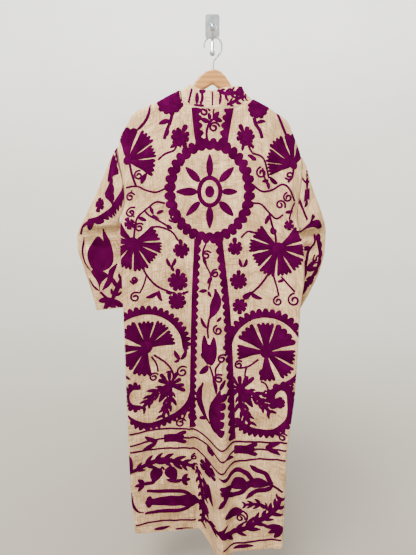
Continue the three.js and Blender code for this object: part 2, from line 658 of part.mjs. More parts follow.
// The wall hook: a plate, a long upper prong that ends in a ball, and a short lower one
const PLATE = { width: 37, height: 58, thick: 3, corner: 6 };
function plateGeometry() {
  const w = PLATE.width / 2;
  const h = PLATE.height / 2;
  const c = PLATE.corner;
  const face = new THREE.Shape();
  face.moveTo(-w + c, -h);
  face.lineTo(w - c, -h);
  face.absarc(w - c, -h + c, c, -Math.PI / 2, 0, false);
  face.lineTo(w, h - c);
  face.absarc(w - c, h - c, c, 0, Math.PI / 2, false);
  face.lineTo(-w + c, h);
  face.absarc(-w + c, h - c, c, Math.PI / 2, Math.PI, false);
  face.lineTo(-w, -h + c);
  face.absarc(-w + c, -h + c, c, Math.PI, 1.5 * Math.PI, false);
  const plate = new THREE.ExtrudeGeometry(face, { depth: PLATE.thick, bevelEnabled: false, curveSegments: 5 });
  plate.rotateX(Math.PI / 2);
  return plate;
}
robe.add(namedMesh("hook_plate", plateGeometry(), chrome));

const PRONG = 4.5;
const UPPER_ROUTE = [
  { out: 3.3, z: -6 },
  { out: 12, z: -12 },
  { out: 19, z: -27 },
  { out: 25, z: -39.2 },
  { out: 31, z: -42.2 },
  { out: 40, z: -38 },
  { out: 49, z: -30 },
  { out: 55, z: -23 },
];
const LOWER_ROUTE = [
  { out: 3.3, z: -24.5 },
  { out: 6.5, z: -34 },
  { out: 9, z: -50 },
  { out: 13, z: -64 },
  { out: 20, z: -70 },
];
function prong(route, radius, ball) {
  const points = route.map((stop) => new THREE.Vector3(0, -stop.out, stop.z));
  const curve = new THREE.CatmullRomCurve3(points, false, "centripetal");
  const end = points[points.length - 1];
  const knob = new THREE.SphereGeometry(ball, 16, 10);
  knob.translate(end.x, end.y, end.z);
  const arm = toSolid(bar(curve, radius, 18, 10));
  const plateSide = new THREE.BoxGeometry(60, 20, 160);
  plateSide.translate(0, 10 - PLATE.thick - SEAM, -40);
  return fromSolid(arm.add(toSolid(knob)).subtract(toSolid(plateSide)));
}
robe.add(namedMesh("hook_prong_upper", prong(UPPER_ROUTE, PRONG, 10), chrome));
robe.add(namedMesh("hook_prong_lower", prong(LOWER_ROUTE, 4, 8), chrome));
robe.add(hanger);

export default robe;
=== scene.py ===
import math
from functools import partial

import bpy
import numpy as np
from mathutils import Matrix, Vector


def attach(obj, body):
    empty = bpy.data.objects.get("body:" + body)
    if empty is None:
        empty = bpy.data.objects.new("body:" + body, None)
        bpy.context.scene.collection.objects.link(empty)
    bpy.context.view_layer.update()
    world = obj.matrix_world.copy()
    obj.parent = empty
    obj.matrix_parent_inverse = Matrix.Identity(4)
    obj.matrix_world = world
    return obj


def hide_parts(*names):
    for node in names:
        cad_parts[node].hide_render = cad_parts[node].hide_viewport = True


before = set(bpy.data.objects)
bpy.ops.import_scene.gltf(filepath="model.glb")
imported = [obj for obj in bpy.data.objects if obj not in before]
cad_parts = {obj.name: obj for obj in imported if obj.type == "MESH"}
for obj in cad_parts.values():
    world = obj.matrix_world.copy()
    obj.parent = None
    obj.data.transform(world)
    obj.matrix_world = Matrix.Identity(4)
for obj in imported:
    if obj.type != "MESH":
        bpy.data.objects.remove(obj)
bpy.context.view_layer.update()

# Thickness of the cloth and of the doubled bands, in millimetres, and which way each side lies
CLOTH = 2.0
BAND_CLOTH = 2.4
SIGNS = {"left": -1, "right": 1}


# Small maths
def lerp(a, b, t):
    return a + (b - a) * t


def smooth(t):
    t = np.clip(t, 0, 1)
    return t * t * (3 - 2 * t)


def quarter_round(t):
    return np.sqrt(np.maximum(0, 1 - (1 - np.clip(t, 0, 1)) ** 2))


def bump(x, centre, width):
    return np.exp(-(((x - centre) / width) ** 2))


def table(columns, *rows):
    names = columns.split()
    return {name: np.array([row[i] for row in rows], float) for i, name in enumerate(names)}


# Reads one column of a table by its key column, with an even curve through the rows
def along(rows, key, column, at):
    x, y = rows[key], rows[column]
    if x[0] > x[-1]:
        x, y = x[::-1], y[::-1]
    at = np.clip(np.asarray(at, float), x[0], x[-1])
    i = np.clip(np.searchsorted(x, at, side="right") - 1, 0, len(x) - 2)
    width = np.diff(x)
    slope = np.diff(y) / width
    before, after = slope[:-1], slope[1:]
    total = np.where(before * after > 0, before + after, 1)
    inner = np.where(before * after > 0, 2 * before * after / total, 0)
    tangent = np.concatenate([slope[:1], inner, slope[-1:]])
    t = (at - x[i]) / width[i]
    rise = y[i + 1] - y[i]
    start_bend = (1 - t) * (tangent[i] * width[i] - rise)
    end_bend = t * (tangent[i + 1] * width[i] - rise)
    return y[i] + rise * t + t * (1 - t) * (start_bend - end_bend)


# The cut and its hang, in millimetres, as in the solids: x to the right, z up, out in front of the wall
HANG = 30
BAND = 44
SEAM = 0.3
SIDE_SEAM = 0.8
NECK_SEAM = 1.5
ARMHOLE_SEAM = 2.3
RIDGE_SEAM = 1.5
SIDE_ROUND = 9
FRONT_HEM = -1456
HEM_LEVEL = -1455.0
SETTLING = 14  # rounds that find the height where a cut ends
RIDGE = {
    "left": table(
        "x z", (-251, -308), (-243, -278), (-225, -250), (-206, -222), (-147, -195.5), (-84, -164)
    ),
    "right": table(
        "x z", (104, -187), (143, -206), (166, -221), (197, -241.5), (210, -268), (232, -316), (238, -334)
    ),
}
NECKLINE = table(
    "x z out",
    (-84, -164, 30), (-83.5, -167.5, 40.5), (-82.6, -174, 43), (-81, -187, 46), (-76, -199, 50),
    (-60, -206, 53), (-27, -212, 56), (8, -213.5, 57), (46, -212, 56), (74, -207, 53),
    (93, -201, 50), (100, -195.5, 45), (102.5, -191.5, 42.5), (103.5, -188.8, 39), (104, -187, 30),
)
NECK_BAND_TOP = table(
    "share x z out",
    (0, -60, -154.5, 30), (0.01, -60, -154, 40.5), (0.05, -60, -153.5, 42.5),
    (0.11, -58, -154.5, 44.5), (0.2, -48, -158, 46), (0.34, -23, -167, 44), (0.46, 2, -167.5, 43.5),
    (0.6, 30, -161, 44), (0.74, 55, -158, 45.5), (0.87, 73, -158.5, 44.5), (0.95, 76, -160.5, 42),
    (0.99, 75, -162, 38.5), (1, 74, -162.5, 30),
)
SIDE = {
    "left": table(
        "z x out wall",
        (-308, -251, 30, 30), (-325, -250, 39, 22), (-386, -241, 44, 18), (-430, -235, 47, 23),
        (-460, -237, 49, 36), (-486, -244, 50, 50), (-560, -247, 66, 66), (-717, -244, 71, 71),
        (-907, -243, 74, 74), (-1115, -242, 76, 76), (-1318, -239, 74, 74), (-1457, -231, 72, 72),
    ),
    "right": table(
        "z x out wall",
        (-334, 238, 30, 30), (-351, 239, 39, 22), (-405, 237, 44, 18), (-455, 231, 47, 24),
        (-490, 229, 50, 37), (-516, 231, 51, 51), (-575, 246, 70, 70), (-653, 247, 82, 82),
        (-727, 238, 90, 90), (-827, 234, 97, 97), (-966, 228, 108, 108), (-1069, 217, 116, 116),
        (-1174, 209, 120, 120), (-1333, 208, 120, 120), (-1457, 206, 120, 120),
    ),
}
ARMHOLE_END = {"left": -486, "right": -516}
FOLD_X = table(
    "z valley ridge crease",
    (-200, -60, 8, 74), (-480, -62, 12, 70), (-700, -64, 18, 60), (-850, -60, 22, 59),
    (-1000, -56, 25, 63), (-1115, -52, 27, 67), (-1300, -42, 28, 70), (-1460, -39, 28, 69),
)
FOLD_OUT = table(
    "z left valley ridge crease right",
    (-200, 44, 54, 57, 54, 44), (-480, 55, 60, 64, 62, 58), (-700, 65, 62, 76, 68, 76),
    (-850, 67, 56, 98, 80, 90), (-1000, 67, 50, 126, 96, 103), (-1115, 63, 47, 144, 107, 110),
    (-1300, 58, 45, 146, 112, 112), (-1460, 56, 43, 146, 115, 113),
)
HEM = table(
    "x z",
    (-231, -1437), (-181, -1451), (-120, -1456), (-46, -1455), (28, -1474), (68, -1468),
    (140, -1463), (206, -1447),
)
FRONT_EDGE = table(
    "z left right", (-160, -84, 104), (-300, -74, 88), (-480, -58, 66), (-800, -54, 60), (-1470, -56, 60)
)
FRONT_OUT = table(
    "z side middle",
    (-160, 18.5, 18.5), (-420, 19, 17), (-500, 47, 18), (-600, 59, 20), (-780, 59, 22),
    (-900, 50, 22), (-1150, 34, 20), (-1470, 30, 20),
)
SLEEVE = {
    "left": table(
        "share top_x top_z low_x low_z top_out low_out front back",
        (0.0, -251, -308, -244, -486, 30, 52, 48, 18),
        (0.08, -267, -331, -249, -492, 31, 50, 51, 17),
        (0.22, -298, -398, -255, -500, 33, 47, 56, 15),
        (0.36, -330, -462, -254, -506, 34, 44, 58, 14),
        (0.47, -357, -511, -251, -513, 33, 35, 58, 13),
        (0.53, -373, -545, -240, -526, 28, 28, 42, 12),
        (0.62, -374, -580, -219, -560, 26, 28, 38, 12),
        (0.76, -360, -637, -198, -625, 25, 28, 39, 11),
        (0.9, -341, -706, -176, -690, 25, 28, 40, 11),
        (1.0, -330, -756, -166, -735, 25, 28, 40, 12),
    ),
    "right": table(
        "share top_x top_z low_x low_z top_out low_out front back",
        (0.0, 238, -334, 229, -516, 30, 53, 48, 18), (0.08, 250, -356, 233, -520, 31, 51, 51, 17),
        (0.22, 269, -412, 238, -522, 33, 48, 55, 15), (0.36, 289, -460, 241, -526, 34, 43, 57, 14),
        (0.47, 305, -502, 239, -532, 33, 35, 56, 13), (0.53, 314, -537, 231, -543, 28, 28, 42, 12),
        (0.62, 314, -580, 206, -575, 26, 28, 38, 12), (0.76, 303, -640, 165, -640, 25, 28, 39, 11),
        (0.9, 278, -702, 128, -715, 25, 28, 40, 11), (1.0, 246, -764, 96, -775, 25, 28, 40, 12),
    ),
}


def wall_edge(side, z):
    rows = SIDE[side]
    return np.where(z > ARMHOLE_END[side], along(rows, "z", "wall", z), along(rows, "z", "out", z))


# The back's sections by height, each as even shares of the cloth's width
SHARES = np.linspace(0, 1, 401)
HEIGHT_STEP = 4.0
HEIGHTS = np.arange(-1500.0, -138.0, HEIGHT_STEP)


def back_section(z):
    names = ("left", "valley", "ridge", "crease", "right")
    outs = {name: float(along(FOLD_OUT, "z", name, z)) for name in names}
    xs = {name: float(along(FOLD_X, "z", name, z)) for name in names[1:4]}
    edge, turn = {}, {}
    for side in ("left", "right"):
        edge[side] = (float(along(SIDE[side], "z", "x", z)), float(along(SIDE[side], "z", "out", z)))
        turn[side] = SIDE_ROUND * max(0.04, float(smooth((ARMHOLE_END[side] + 40 - z) / 40)))
    (left_x, left_out), (right_x, right_out) = edge["left"], edge["right"]
    points = table(
        "x out",
        (left_x + turn["left"], left_out + 0.8 * turn["left"]),
        (lerp(left_x, xs["valley"], 0.34), outs["left"] + 3),
        (lerp(left_x, xs["valley"], 0.72), lerp(outs["left"], outs["valley"], 0.75)),
        (xs["valley"], outs["valley"]),
        (lerp(xs["valley"], xs["ridge"], 0.5), lerp(outs["valley"], outs["ridge"], 0.45)),
        (xs["ridge"], outs["ridge"]),
        (xs["crease"], outs["crease"]),
        (lerp(xs["crease"], right_x, 0.35), lerp(outs["crease"], outs["right"], 0.4)),
        (lerp(xs["crease"], right_x, 0.7), outs["right"] + 2),
        (right_x - turn["right"], right_out + 0.8 * turn["right"]),
    )
    x = np.linspace(points["x"][0], points["x"][-1], 121)
    out = along(points, "x", "out", x)
    a = np.array([1, 0.85, 0.6, 0.3])

    def rounded(side_x, side_out, inner_x, inner_out):
        return lerp(inner_x, side_x, quarter_round(a)), lerp(side_out, inner_out, quarter_round(1 - a))

    lx, lo = rounded(left_x, left_out, x[0], out[0])
    rx, ro = rounded(right_x, right_out, x[-1], out[-1])
    x = np.concatenate([lx, x, rx[::-1]])
    out = np.concatenate([lo, out, ro[::-1]])
    length = np.concatenate([[0], np.cumsum(np.hypot(np.diff(x), np.diff(out)))])
    share = length / length[-1]
    return np.interp(SHARES, share, x), np.interp(SHARES, share, out), length[-1]


sections = [back_section(z) for z in HEIGHTS]
SECTION_X = np.array([s[0] for s in sections])
SECTION_OUT = np.array([s[1] for s in sections])
SECTION_WIDTH = np.array([s[2] for s in sections])


def grid_value(grid, row, column):
    i = np.clip(row.astype(int), 0, grid.shape[0] - 2)
    j = np.clip(column.astype(int), 0, grid.shape[1] - 2)
    r, c = np.clip(row - i, 0, 1), np.clip(column - j, 0, 1)
    upper = lerp(grid[i, j], grid[i, j + 1], c)
    return lerp(upper, lerp(grid[i + 1, j], grid[i + 1, j + 1], c), r)


def section_at(grid, z, share):
    return grid_value(grid, (z - HEIGHTS[0]) / HEIGHT_STEP, share * (len(SHARES) - 1))


NECK_LEFT, NECK_RIGHT = -84, 104


def back_top(x):
    ridge = np.where(x < 0, along(RIDGE["left"], "x", "z", x), along(RIDGE["right"], "x", "z", x))
    return np.where((x <= NECK_LEFT) | (x >= NECK_RIGHT), ridge, along(NECKLINE, "x", "z", x))


# Soft creases: each runs from one place to the other, a hollow where its depth is negative
def creased(creases, x, z):
    lift = np.zeros_like(x)
    for x0, z0, x1, z1, depth, width in creases:
        dx, dz = x1 - x0, z1 - z0
        length = math.hypot(dx, dz)
        on = ((x - x0) * dx + (z - z0) * dz) / length**2
        off = ((x - x0) * dz - (z - z0) * dx) / length
        inside = smooth(on / 0.3 + 0.5) * smooth((1 - on) / 0.3 + 0.5)
        lift += depth * np.exp(-((off / width) ** 2)) * inside
    return lift


# The quilted unevenness that close stitching gives the cloth
def puckers(x, z, much):
    fine = np.sin(x / 11.3 + 1.7 * np.sin(z / 23.0)) * np.sin(z / 13.7 + 1.3 * np.sin(x / 31.0))
    broad = np.sin(x / 29.0 + 0.9 * np.sin(z / 47.0) + 1.1) * np.sin(z / 37.0 + 1.2 * np.sin(x / 53.0))
    crinkle = np.sin(x / 5.9 + 2.1 * np.sin(z / 9.0)) * np.sin(z / 4.1 + 1.9 * np.sin(x / 14.0))
    return much * (0.6 * fine + 0.95 * broad + 0.45 * crinkle)


# The heights of the back's top and hem at its shares across
def back_ends(across):
    top = np.full_like(across, -260.0)
    for _ in range(SETTLING):
        top = back_top(section_at(SECTION_X, top, across))
    return top, along(HEM, "x", "z", section_at(SECTION_X, np.full_like(across, HEM_LEVEL), across))


def back_point(across, down):
    top, bottom = back_ends(across)
    top_x = section_at(SECTION_X, top, across)
    z = lerp(top, bottom, down)
    x = section_at(SECTION_X, z, across)
    out = section_at(SECTION_OUT, z, across)
    on_ridge = (top_x <= NECK_LEFT) | (top_x >= NECK_RIGHT)
    bend = quarter_round((top - z) / np.where(on_ridge, 15, 9))
    hollow = 5 * smooth((z + 600) / 200) * (bump(x, -175, 26) + bump(x, 178, 24)) * smooth((top - z) / 60)
    pull = 3 * bump(z, -400, 130) * (bump(x, -120, 30) + bump(x, 125, 32))
    edge = smooth(np.minimum(across, 1 - across) / 0.06) * smooth((top - z) / 30)
    soft = creased(BACK_CREASES, x, z) + puckers(x, z, 0.8)
    top_out = np.where(on_ridge, HANG, along(NECKLINE, "x", "out", top_x))
    out = lerp(top_out, out - hollow + pull, bend) + soft * edge
    return np.stack([x, -out, z], -1)


def front_x(side, z, across):
    return lerp(along(SIDE[side], "z", "x", z), along(FRONT_EDGE, "z", side, z), across)


# The heights of a front's top and hem at its shares across
def front_ends(side, across):
    top = np.full_like(across, -250.0)
    for _ in range(SETTLING):
        top = along(RIDGE[side], "x", "z", front_x(side, top, across))
    seam_hem = float(along(HEM, "x", "z", along(SIDE[side], "z", "x", HEM_LEVEL)))
    return top, lerp(seam_hem, FRONT_HEM, smooth(across * 2))


def front_point(side, across, down):
    top, bottom = front_ends(side, across)
    z = lerp(top, bottom, down)
    x = front_x(side, z, across)
    reach = np.abs(x - along(SIDE[side], "z", "x", z))
    side_share = smooth(1 - (reach - 95) / 75)
    out = lerp(along(FRONT_OUT, "z", "middle", z), along(FRONT_OUT, "z", "side", z), side_share)
    wave = 5 * smooth((-z - 700) / 500)
    out = out + wave * (bump(reach, 70, 22) - 0.6 * bump(reach, 125, 20))
    out = lerp(wall_edge(side, z) - SIDE_SEAM, out, quarter_round(reach / 10))
    edge = smooth(across / 0.12) * smooth((top - z) / 30)
    soft = creased(FRONT_CREASES[side], x, z) + puckers(x, z, 0.7)
    soft = soft * edge * smooth((1 - across) / 0.1)
    out = lerp(HANG - RIDGE_SEAM, out, quarter_round((top - z) / 8)) + soft
    return np.stack([x, -out, z], -1)


# A sleeve's rings run from the armhole to the cuff, each once round from its upper end over the room side
def sleeve_point(side, turn, share):
    rows, seam = SLEEVE[side], SIDE[side]
    angle = turn * 2 * math.pi
    t = (1 - np.cos(angle)) / 2
    room = np.sin(angle) >= 0
    swell = np.abs(np.sin(angle)) ** 0.6

    def ring(at):
        def read(column):
            return along(rows, "share", column, at)

        middle = lerp(read("top_out"), read("low_out"), t)
        out = lerp(middle, np.where(room, read("front"), read("back")), swell)
        x, z = (lerp(read("top_" + name), read("low_" + name), t) for name in "xz")
        return np.stack([x, -out, z], -1)

    start = ring(np.zeros_like(share))
    z = start[..., 2]
    seam_x = along(seam, "z", "x", z) + SIGNS[side] * ARMHOLE_SEAM
    seam_out = np.where(room, along(seam, "z", "out", z), wall_edge(side, z))
    armhole = np.stack([seam_x, -seam_out, z], -1)
    point = ring(share) + (armhole - start) * (1 - smooth(share / 0.2))[..., None]
    x, z = point[..., 0], point[..., 2]
    soft = creased(SLEEVE_CREASES[side], x, z) * np.where(room, 1, -0.5) + puckers(x, z, 0.6)
    point[..., 1] -= soft * smooth(share / 0.12) * smooth(swell * 1.4 - 0.4)
    return point


def neck_band_point(share, up):
    def on_seam(at):
        x = lerp(NECK_LEFT, NECK_RIGHT, np.clip(at, 0, 1))
        return np.stack([x, -along(NECKLINE, "x", "out", x), along(NECKLINE, "x", "z", x)], -1)

    run = on_seam(share + 0.004) - on_seam(share - 0.004)
    away = np.stack([-run[..., 2], 0 * share, run[..., 0]], -1)
    apart = lerp(NECK_SEAM, 0.7, smooth(np.minimum(share, 1 - share) / 0.2))[..., None]
    seam = on_seam(share) + apart * away / np.linalg.norm(away, axis=-1, keepdims=True)
    free = np.stack([along(NECK_BAND_TOP, "share", c, share) for c in ("x", "out", "z")], -1)
    free[..., 1] *= -1
    point = lerp(seam, free, up[..., None])
    swell = 3 * np.sin(math.pi * up) * np.sin(math.pi * share)
    ends = smooth(np.minimum(share, 1 - share) / 0.12)
    point[..., 1] -= swell + creased(NECK_CREASES, point[..., 0], point[..., 2]) * ends * smooth(up / 0.2)
    return point


def front_band_point(side, across, down):
    inward = -SIGNS[side]
    seam = front_point(side, np.ones_like(down), down)
    seam[..., 0] += inward * 3 * SEAM
    end = 0 if side == "left" else -1
    end_x, end_z = NECK_BAND_TOP["x"][end], NECK_BAND_TOP["z"][end]
    z = lerp(end_z, FRONT_HEM, down)
    drop = end_z - z
    x = lerp(end_x, along(FRONT_EDGE, "z", side, z) + inward * BAND, smooth(drop / 140))
    out = lerp(HANG - RIDGE_SEAM, along(FRONT_OUT, "z", "middle", z) - 1.5, quarter_round(drop / 8))
    out = out + puckers(x, z, 0.5) * smooth(drop / 60)
    return lerp(seam, np.stack([x, -out, z], -1), across[..., None])


# Creases: from x, z to x, z, how far they stand out, and their half width
BACK_CREASES = [
    (-58, -216, -66, -330, -2.4, 9), (-30, -220, -24, -300, 1.6, 8), (22, -222, 30, -320, -1.8, 8),
    (68, -216, 84, -330, -2.4, 10), (-200, -262, -150, -470, -3.0, 13),
    (-226, -330, -190, -520, 2.6, 12), (192, -290, 150, -480, -3.0, 13),
    (214, -380, 188, -560, 2.6, 12), (-232, -540, -170, -600, -0.77, 10),
    (222, -560, 160, -640, -1.0, 11), (-205, -600, -214, -900, 1.8, 13),
    (-150, -640, -162, -1180, -0.77, 16), (-104, -760, -112, -1440, 2.0, 13),
    (-190, -980, -196, -1440, -2.0, 12), (110, -640, 118, -980, -2.2, 14),
    (160, -700, 170, -1440, 2.4, 15), (196, -840, 190, -1200, -2.0, 10),
    (134, -1100, 138, -1455, -2.2, 12), (0, -560, 6, -900, 1.6, 12),
    (-20, -980, -12, -1460, -1.8, 8), (48, -1000, 50, -1465, -1.6, 7),
    (90, -880, 96, -1460, 1.8, 9), (-220, -1180, -170, -1225, 1.4, 9),
    (-58, -1060, -46, -1452, -3.6, 6), (-36, -1130, -22, -1456, 2.2, 6),
    (14, -1090, 22, -1462, -2.2, 7), (-246, -640, -206, -662, 2.4, 8),
    (238, -650, 200, -672, 2.2, 8), (-130, -700, -80, -742, 1.6, 9),
    (-236, -1000, -120, -1010, -1.5, 8), (210, -1096, 90, -1104, -1.4, 8),
    (190, -1010, 130, -1050, 1.5, 9),
]
FRONT_CREASES = {
    "left": [
        (-110, -260, -104, -520, -2.0, 12), (-170, -520, -150, -860, 2.2, 14),
        (-96, -640, -98, -1200, -2.2, 11), (-206, -760, -200, -1440, -2.0, 10),
        (-130, -1000, -124, -1450, 2.0, 11),
    ],
    "right": [
        (120, -290, 110, -560, -2.0, 12), (180, -560, 160, -900, 2.2, 14),
        (100, -680, 104, -1240, -2.2, 11), (196, -820, 186, -1440, -2.0, 10),
        (138, -960, 132, -1450, 2.0, 11),
    ],
}
SLEEVE_CREASES = {
    "left": [
        (-268, -360, -300, -520, -3.2, 10), (-292, -420, -262, -500, 2.6, 9),
        (-352, -540, -262, -548, 3.4, 9), (-362, -566, -272, -578, -3.0, 9),
        (-330, -600, -320, -740, -2.4, 10), (-290, -610, -276, -735, 2.2, 9),
        (-344, -620, -300, -650, 1.8, 7),
    ],
    "right": [
        (256, -380, 276, -520, -3.2, 10), (286, -450, 250, -520, 2.6, 9),
        (304, -556, 236, -562, 3.4, 9), (306, -584, 226, -596, -3.0, 9),
        (276, -620, 236, -750, -2.4, 10), (232, -620, 190, -750, 2.2, 9),
        (292, -628, 252, -650, 1.8, 7),
    ],
}
NECK_CREASES = [
    (-66, -160, -70, -204, -2.4, 5), (-52, -160, -55, -208, 2.2, 5),
    (-38, -166, -42, -210, -2.0, 5), (-24, -170, -26, -212, 1.6, 5), (58, -162, 62, -208, -1.6, 6),
]


def crossed(a, b):
    return a[:, 0] * b[:, 1] - a[:, 1] * b[:, 0]


NUDGE = 0.008  # the share by which a place is moved to find its slope


class Panel:
    """A grid of points of a cloth, with the normals of its shown side, read by shares across and down."""

    def __init__(self, point, across, down, face, size, closed=False):
        self.us, self.vs, self.size, self.closed = across, down, size, closed
        self.turned = face > 0
        self.to_shares = self.from_seen = None
        u, v = np.meshgrid(across, down)
        self.points = point(u, v)
        du = np.gradient(self.points, across, axis=1)
        if closed:
            first = (self.points[:, 1] - self.points[:, -2]) / 2
            du[:, 0] = du[:, -1] = first / (across[1] - across[0])
        dv = np.gradient(self.points, down, axis=0)
        normal = face * np.cross(du, dv)
        self.normals = normal / np.maximum(np.linalg.norm(normal, axis=-1, keepdims=True), 1e-9)

    def read(self, grid, u, v):
        i = np.clip(np.searchsorted(self.vs, v, side="right") - 1, 0, len(self.vs) - 2)
        j = np.clip(np.searchsorted(self.us, u, side="right") - 1, 0, len(self.us) - 2)
        r = ((v - self.vs[i]) / (self.vs[i + 1] - self.vs[i]))[..., None]
        c = ((u - self.us[j]) / (self.us[j + 1] - self.us[j]))[..., None]
        upper = lerp(grid[i, j], grid[i, j + 1], c)
        return lerp(upper, lerp(grid[i + 1, j], grid[i + 1, j + 1], c), r)

    def at(self, u, v, lift):
        u = u % 1.0 if self.closed else np.clip(u, 0, 1)
        v = np.clip(v, 0, 1)
        return self.read(self.points, u, v) + self.read(self.normals, u, v) * lift[..., None]

    def shares(self, flat):
        if self.to_shares:
            return self.to_shares(flat)
        return 0.5 + flat[..., 0] / self.size[0], -flat[..., 1] / self.size[1]

    def flat_at(self, spots, toward):
        """The flat places, in mm across and up, of what is seen at x, z on the side that faces "toward"."""
        if self.from_seen:
            return self.from_seen(spots)
        hidden = np.where(self.normals[..., 1] * toward > 0.05, 0, 1e5)
        rows, columns = [], []
        for x, z in spots:
            apart = np.hypot(self.points[..., 0] - x, self.points[..., 2] - z) + hidden
            i, j = np.unravel_index(np.argmin(apart), apart.shape)
            rows.append(i)
            columns.append(j)
        u, v = self.us[columns], self.vs[rows]
        for _ in range(4):
            here = self.seen(u, v)
            across = (self.seen(u + NUDGE, v) - here) / NUDGE
            down = (self.seen(u, v + NUDGE) - here) / NUDGE
            miss = spots - here
            turn = crossed(across, down)
            turn = np.where(np.abs(turn) < 1e3, 1e9, turn)
            u = u + np.clip(crossed(miss, down) / turn, -NUDGE, NUDGE)
            v = v + np.clip(crossed(across, miss) / turn, -NUDGE, NUDGE)
        return np.stack([(u - 0.5) * self.size[0], -v * self.size[1]], -1)

    def seen(self, u, v):
        return self.at(u, v, np.zeros_like(u))[..., ::2]


# The back and the fronts are drawn on by distance across the cloth and by height
FINE = np.linspace(0, 1, 801)
BACK_TOPS, BACK_HEMS = back_ends(FINE)


def back_shares(flat):
    z = flat[..., 1]
    u = 0.5 + flat[..., 0] / np.interp(z, HEIGHTS, SECTION_WIDTH)
    top, hem = np.interp(u, FINE, BACK_TOPS), np.interp(u, FINE, BACK_HEMS)
    return u, (top - z) / (top - hem)


def back_flat(spots):
    x, z = spots[..., 0], spots[..., 1]
    place = np.clip((z - HEIGHTS[0]) / HEIGHT_STEP, 0, len(HEIGHTS) - 1.001)
    low = place.astype(int)
    u, over = np.zeros_like(x), np.zeros_like(x)
    for row in np.unique(low):
        at = low == row
        for k, weight in ((row, 1 - (place - low)[at]), (row + 1, (place - low)[at])):
            u[at] += weight * np.interp(x[at], SECTION_X[k], SHARES)
            over[at] += weight * (x[at] - np.clip(x[at], SECTION_X[k, 0], SECTION_X[k, -1]))
    return np.stack([(u - 0.5) * np.interp(z, HEIGHTS, SECTION_WIDTH) + over, z], -1)


def front_shares(side, flat):
    x, z = flat[..., 0], flat[..., 1]
    edge = along(SIDE[side], "z", "x", z)
    u = (x - edge) / (along(FRONT_EDGE, "z", side, z) - edge)
    top, bottom = front_ends(side, u)
    return u, (top - z) / (top - bottom)


def spaced(*stops):
    """Rising shares from pairs of an end and the number of steps up to it."""
    out = [np.array([0.0])]
    for end, count in stops:
        out.append(np.linspace(out[-1][-1], end, count + 1)[1:])
    return np.concatenate(out)


# Embroidery. A shape is a grid of flat points, in millimetres, with the height of each over the cloth.
THREAD = 0.85  # height of the stitches at their middle
TUCK = -0.4  # height of a shape's rim, inside the cloth
LINE = 2.1  # half width of a line, unless its call gives another
BOLD = 1.25  # lines and spirals are drawn so much wider than that half width
GROW = 0.8  # added to both half widths of each ribbon
THIN = 0.25  # the least half width
WIDEN = 5.5  # degrees added to each wedge
GAP = 4.6  # millimetres between neighbouring wedges at their rims
TURNS = 1.4  # of a spiral


def heights(rows, columns, closed=False):
    side = np.linspace(-1, 1, columns)
    lift = THREAD * (1 - 0.25 * side**4)
    lift[0] = lift[-1] = TUCK
    lift = np.repeat(lift[None], rows, 0)
    if not closed:
        lift[0] = lift[-1] = TUCK
    return lift


def side_places(columns):
    side = np.linspace(-1, 1, columns)
    return np.sign(side) * np.abs(side) ** 0.8


def columns_for(width):
    return 2 * int(math.ceil(max(width, 6) / 6)) + 3


def ribbon(centre, left, right=None, columns=None, grow=GROW):
    """A stroke along a line, with its half widths to the left and right of it."""
    centre = np.asarray(centre, float)
    count = len(centre)
    left = np.broadcast_to(left, count)
    right = left if right is None else np.broadcast_to(right, count)
    left, right = left + grow, right + grow
    columns = columns or columns_for(float((left + right).max()))
    run = np.gradient(centre, axis=0)
    run /= np.maximum(np.linalg.norm(run, axis=1, keepdims=True), 1e-9)
    away = np.stack([-run[:, 1], run[:, 0]], -1)
    side = side_places(columns)
    reach = np.where(side > 0, left[:, None], right[:, None]) * side
    return centre[:, None] + away[:, None] * reach[..., None], heights(count, columns)


def through(points, spacing=4.0):
    """A smooth line through a few points."""
    points = np.asarray(points, float)
    if len(points) == 2:
        return lerp(points[0], points[1], np.linspace(0, 1, 9)[:, None])
    padded = np.concatenate([[2 * points[0] - points[1]], points, [2 * points[-1] - points[-2]]])
    out = []
    for i in range(1, len(padded) - 2):
        a, b, c, d = padded[i - 1 : i + 3]
        steps = max(2, int(np.linalg.norm(c - b) / spacing))
        t = np.linspace(0, 1, steps + 1)[:, None]
        curve = 2 * b + (c - a) * t + (2 * a - 5 * b + 4 * c - d) * t**2
        curve = curve + (3 * b - a - 3 * c + d) * t**3
        out.append(curve[:-1] / 2)
    return np.concatenate(out + [points[-1:]])


def moved(shapes, x=0, y=0, turn=0, size=1, flip=False):
    c, s = math.cos(math.radians(turn)), math.sin(math.radians(turn))
    spin = np.array([[c, s], [-s, c]]) * size
    mirror = np.array([-1 if flip else 1, 1])
    return [((grid * mirror) @ spin + np.array([x, y]), lift) for grid, lift in shapes]


def leaf(length, width, bend=0.0, fullness=0.9):
    t = np.linspace(0, 1, max(7, int(length / 4)))
    centre = np.stack([length * t, 4 * bend * t * (1 - t)], -1)
    half = width / 2 * np.sin(math.pi * t**fullness) ** 0.8
    return [ribbon(centre, np.maximum(half, THIN))]


def spiral(r, half=LINE):
    t = np.linspace(0, 1, 30)
    angle = 2 * math.pi * TURNS * t
    reach = 1.12 * r * (1 - 0.84 * t**0.9)
    centre = np.stack([reach * np.cos(angle) - r, reach * np.sin(angle)], -1)
    return [ribbon(centre, BOLD * half * (1 + 0.9 * t**6))]


def disc(rx, ry=None):
    ry = rx if ry is None else ry
    t = np.linspace(0, 1, 11)
    y = -ry * np.cos(math.pi * t)
    half = np.maximum(rx * np.sin(math.pi * t), THIN)
    return [ribbon(np.stack([0 * y, y], -1), half)]


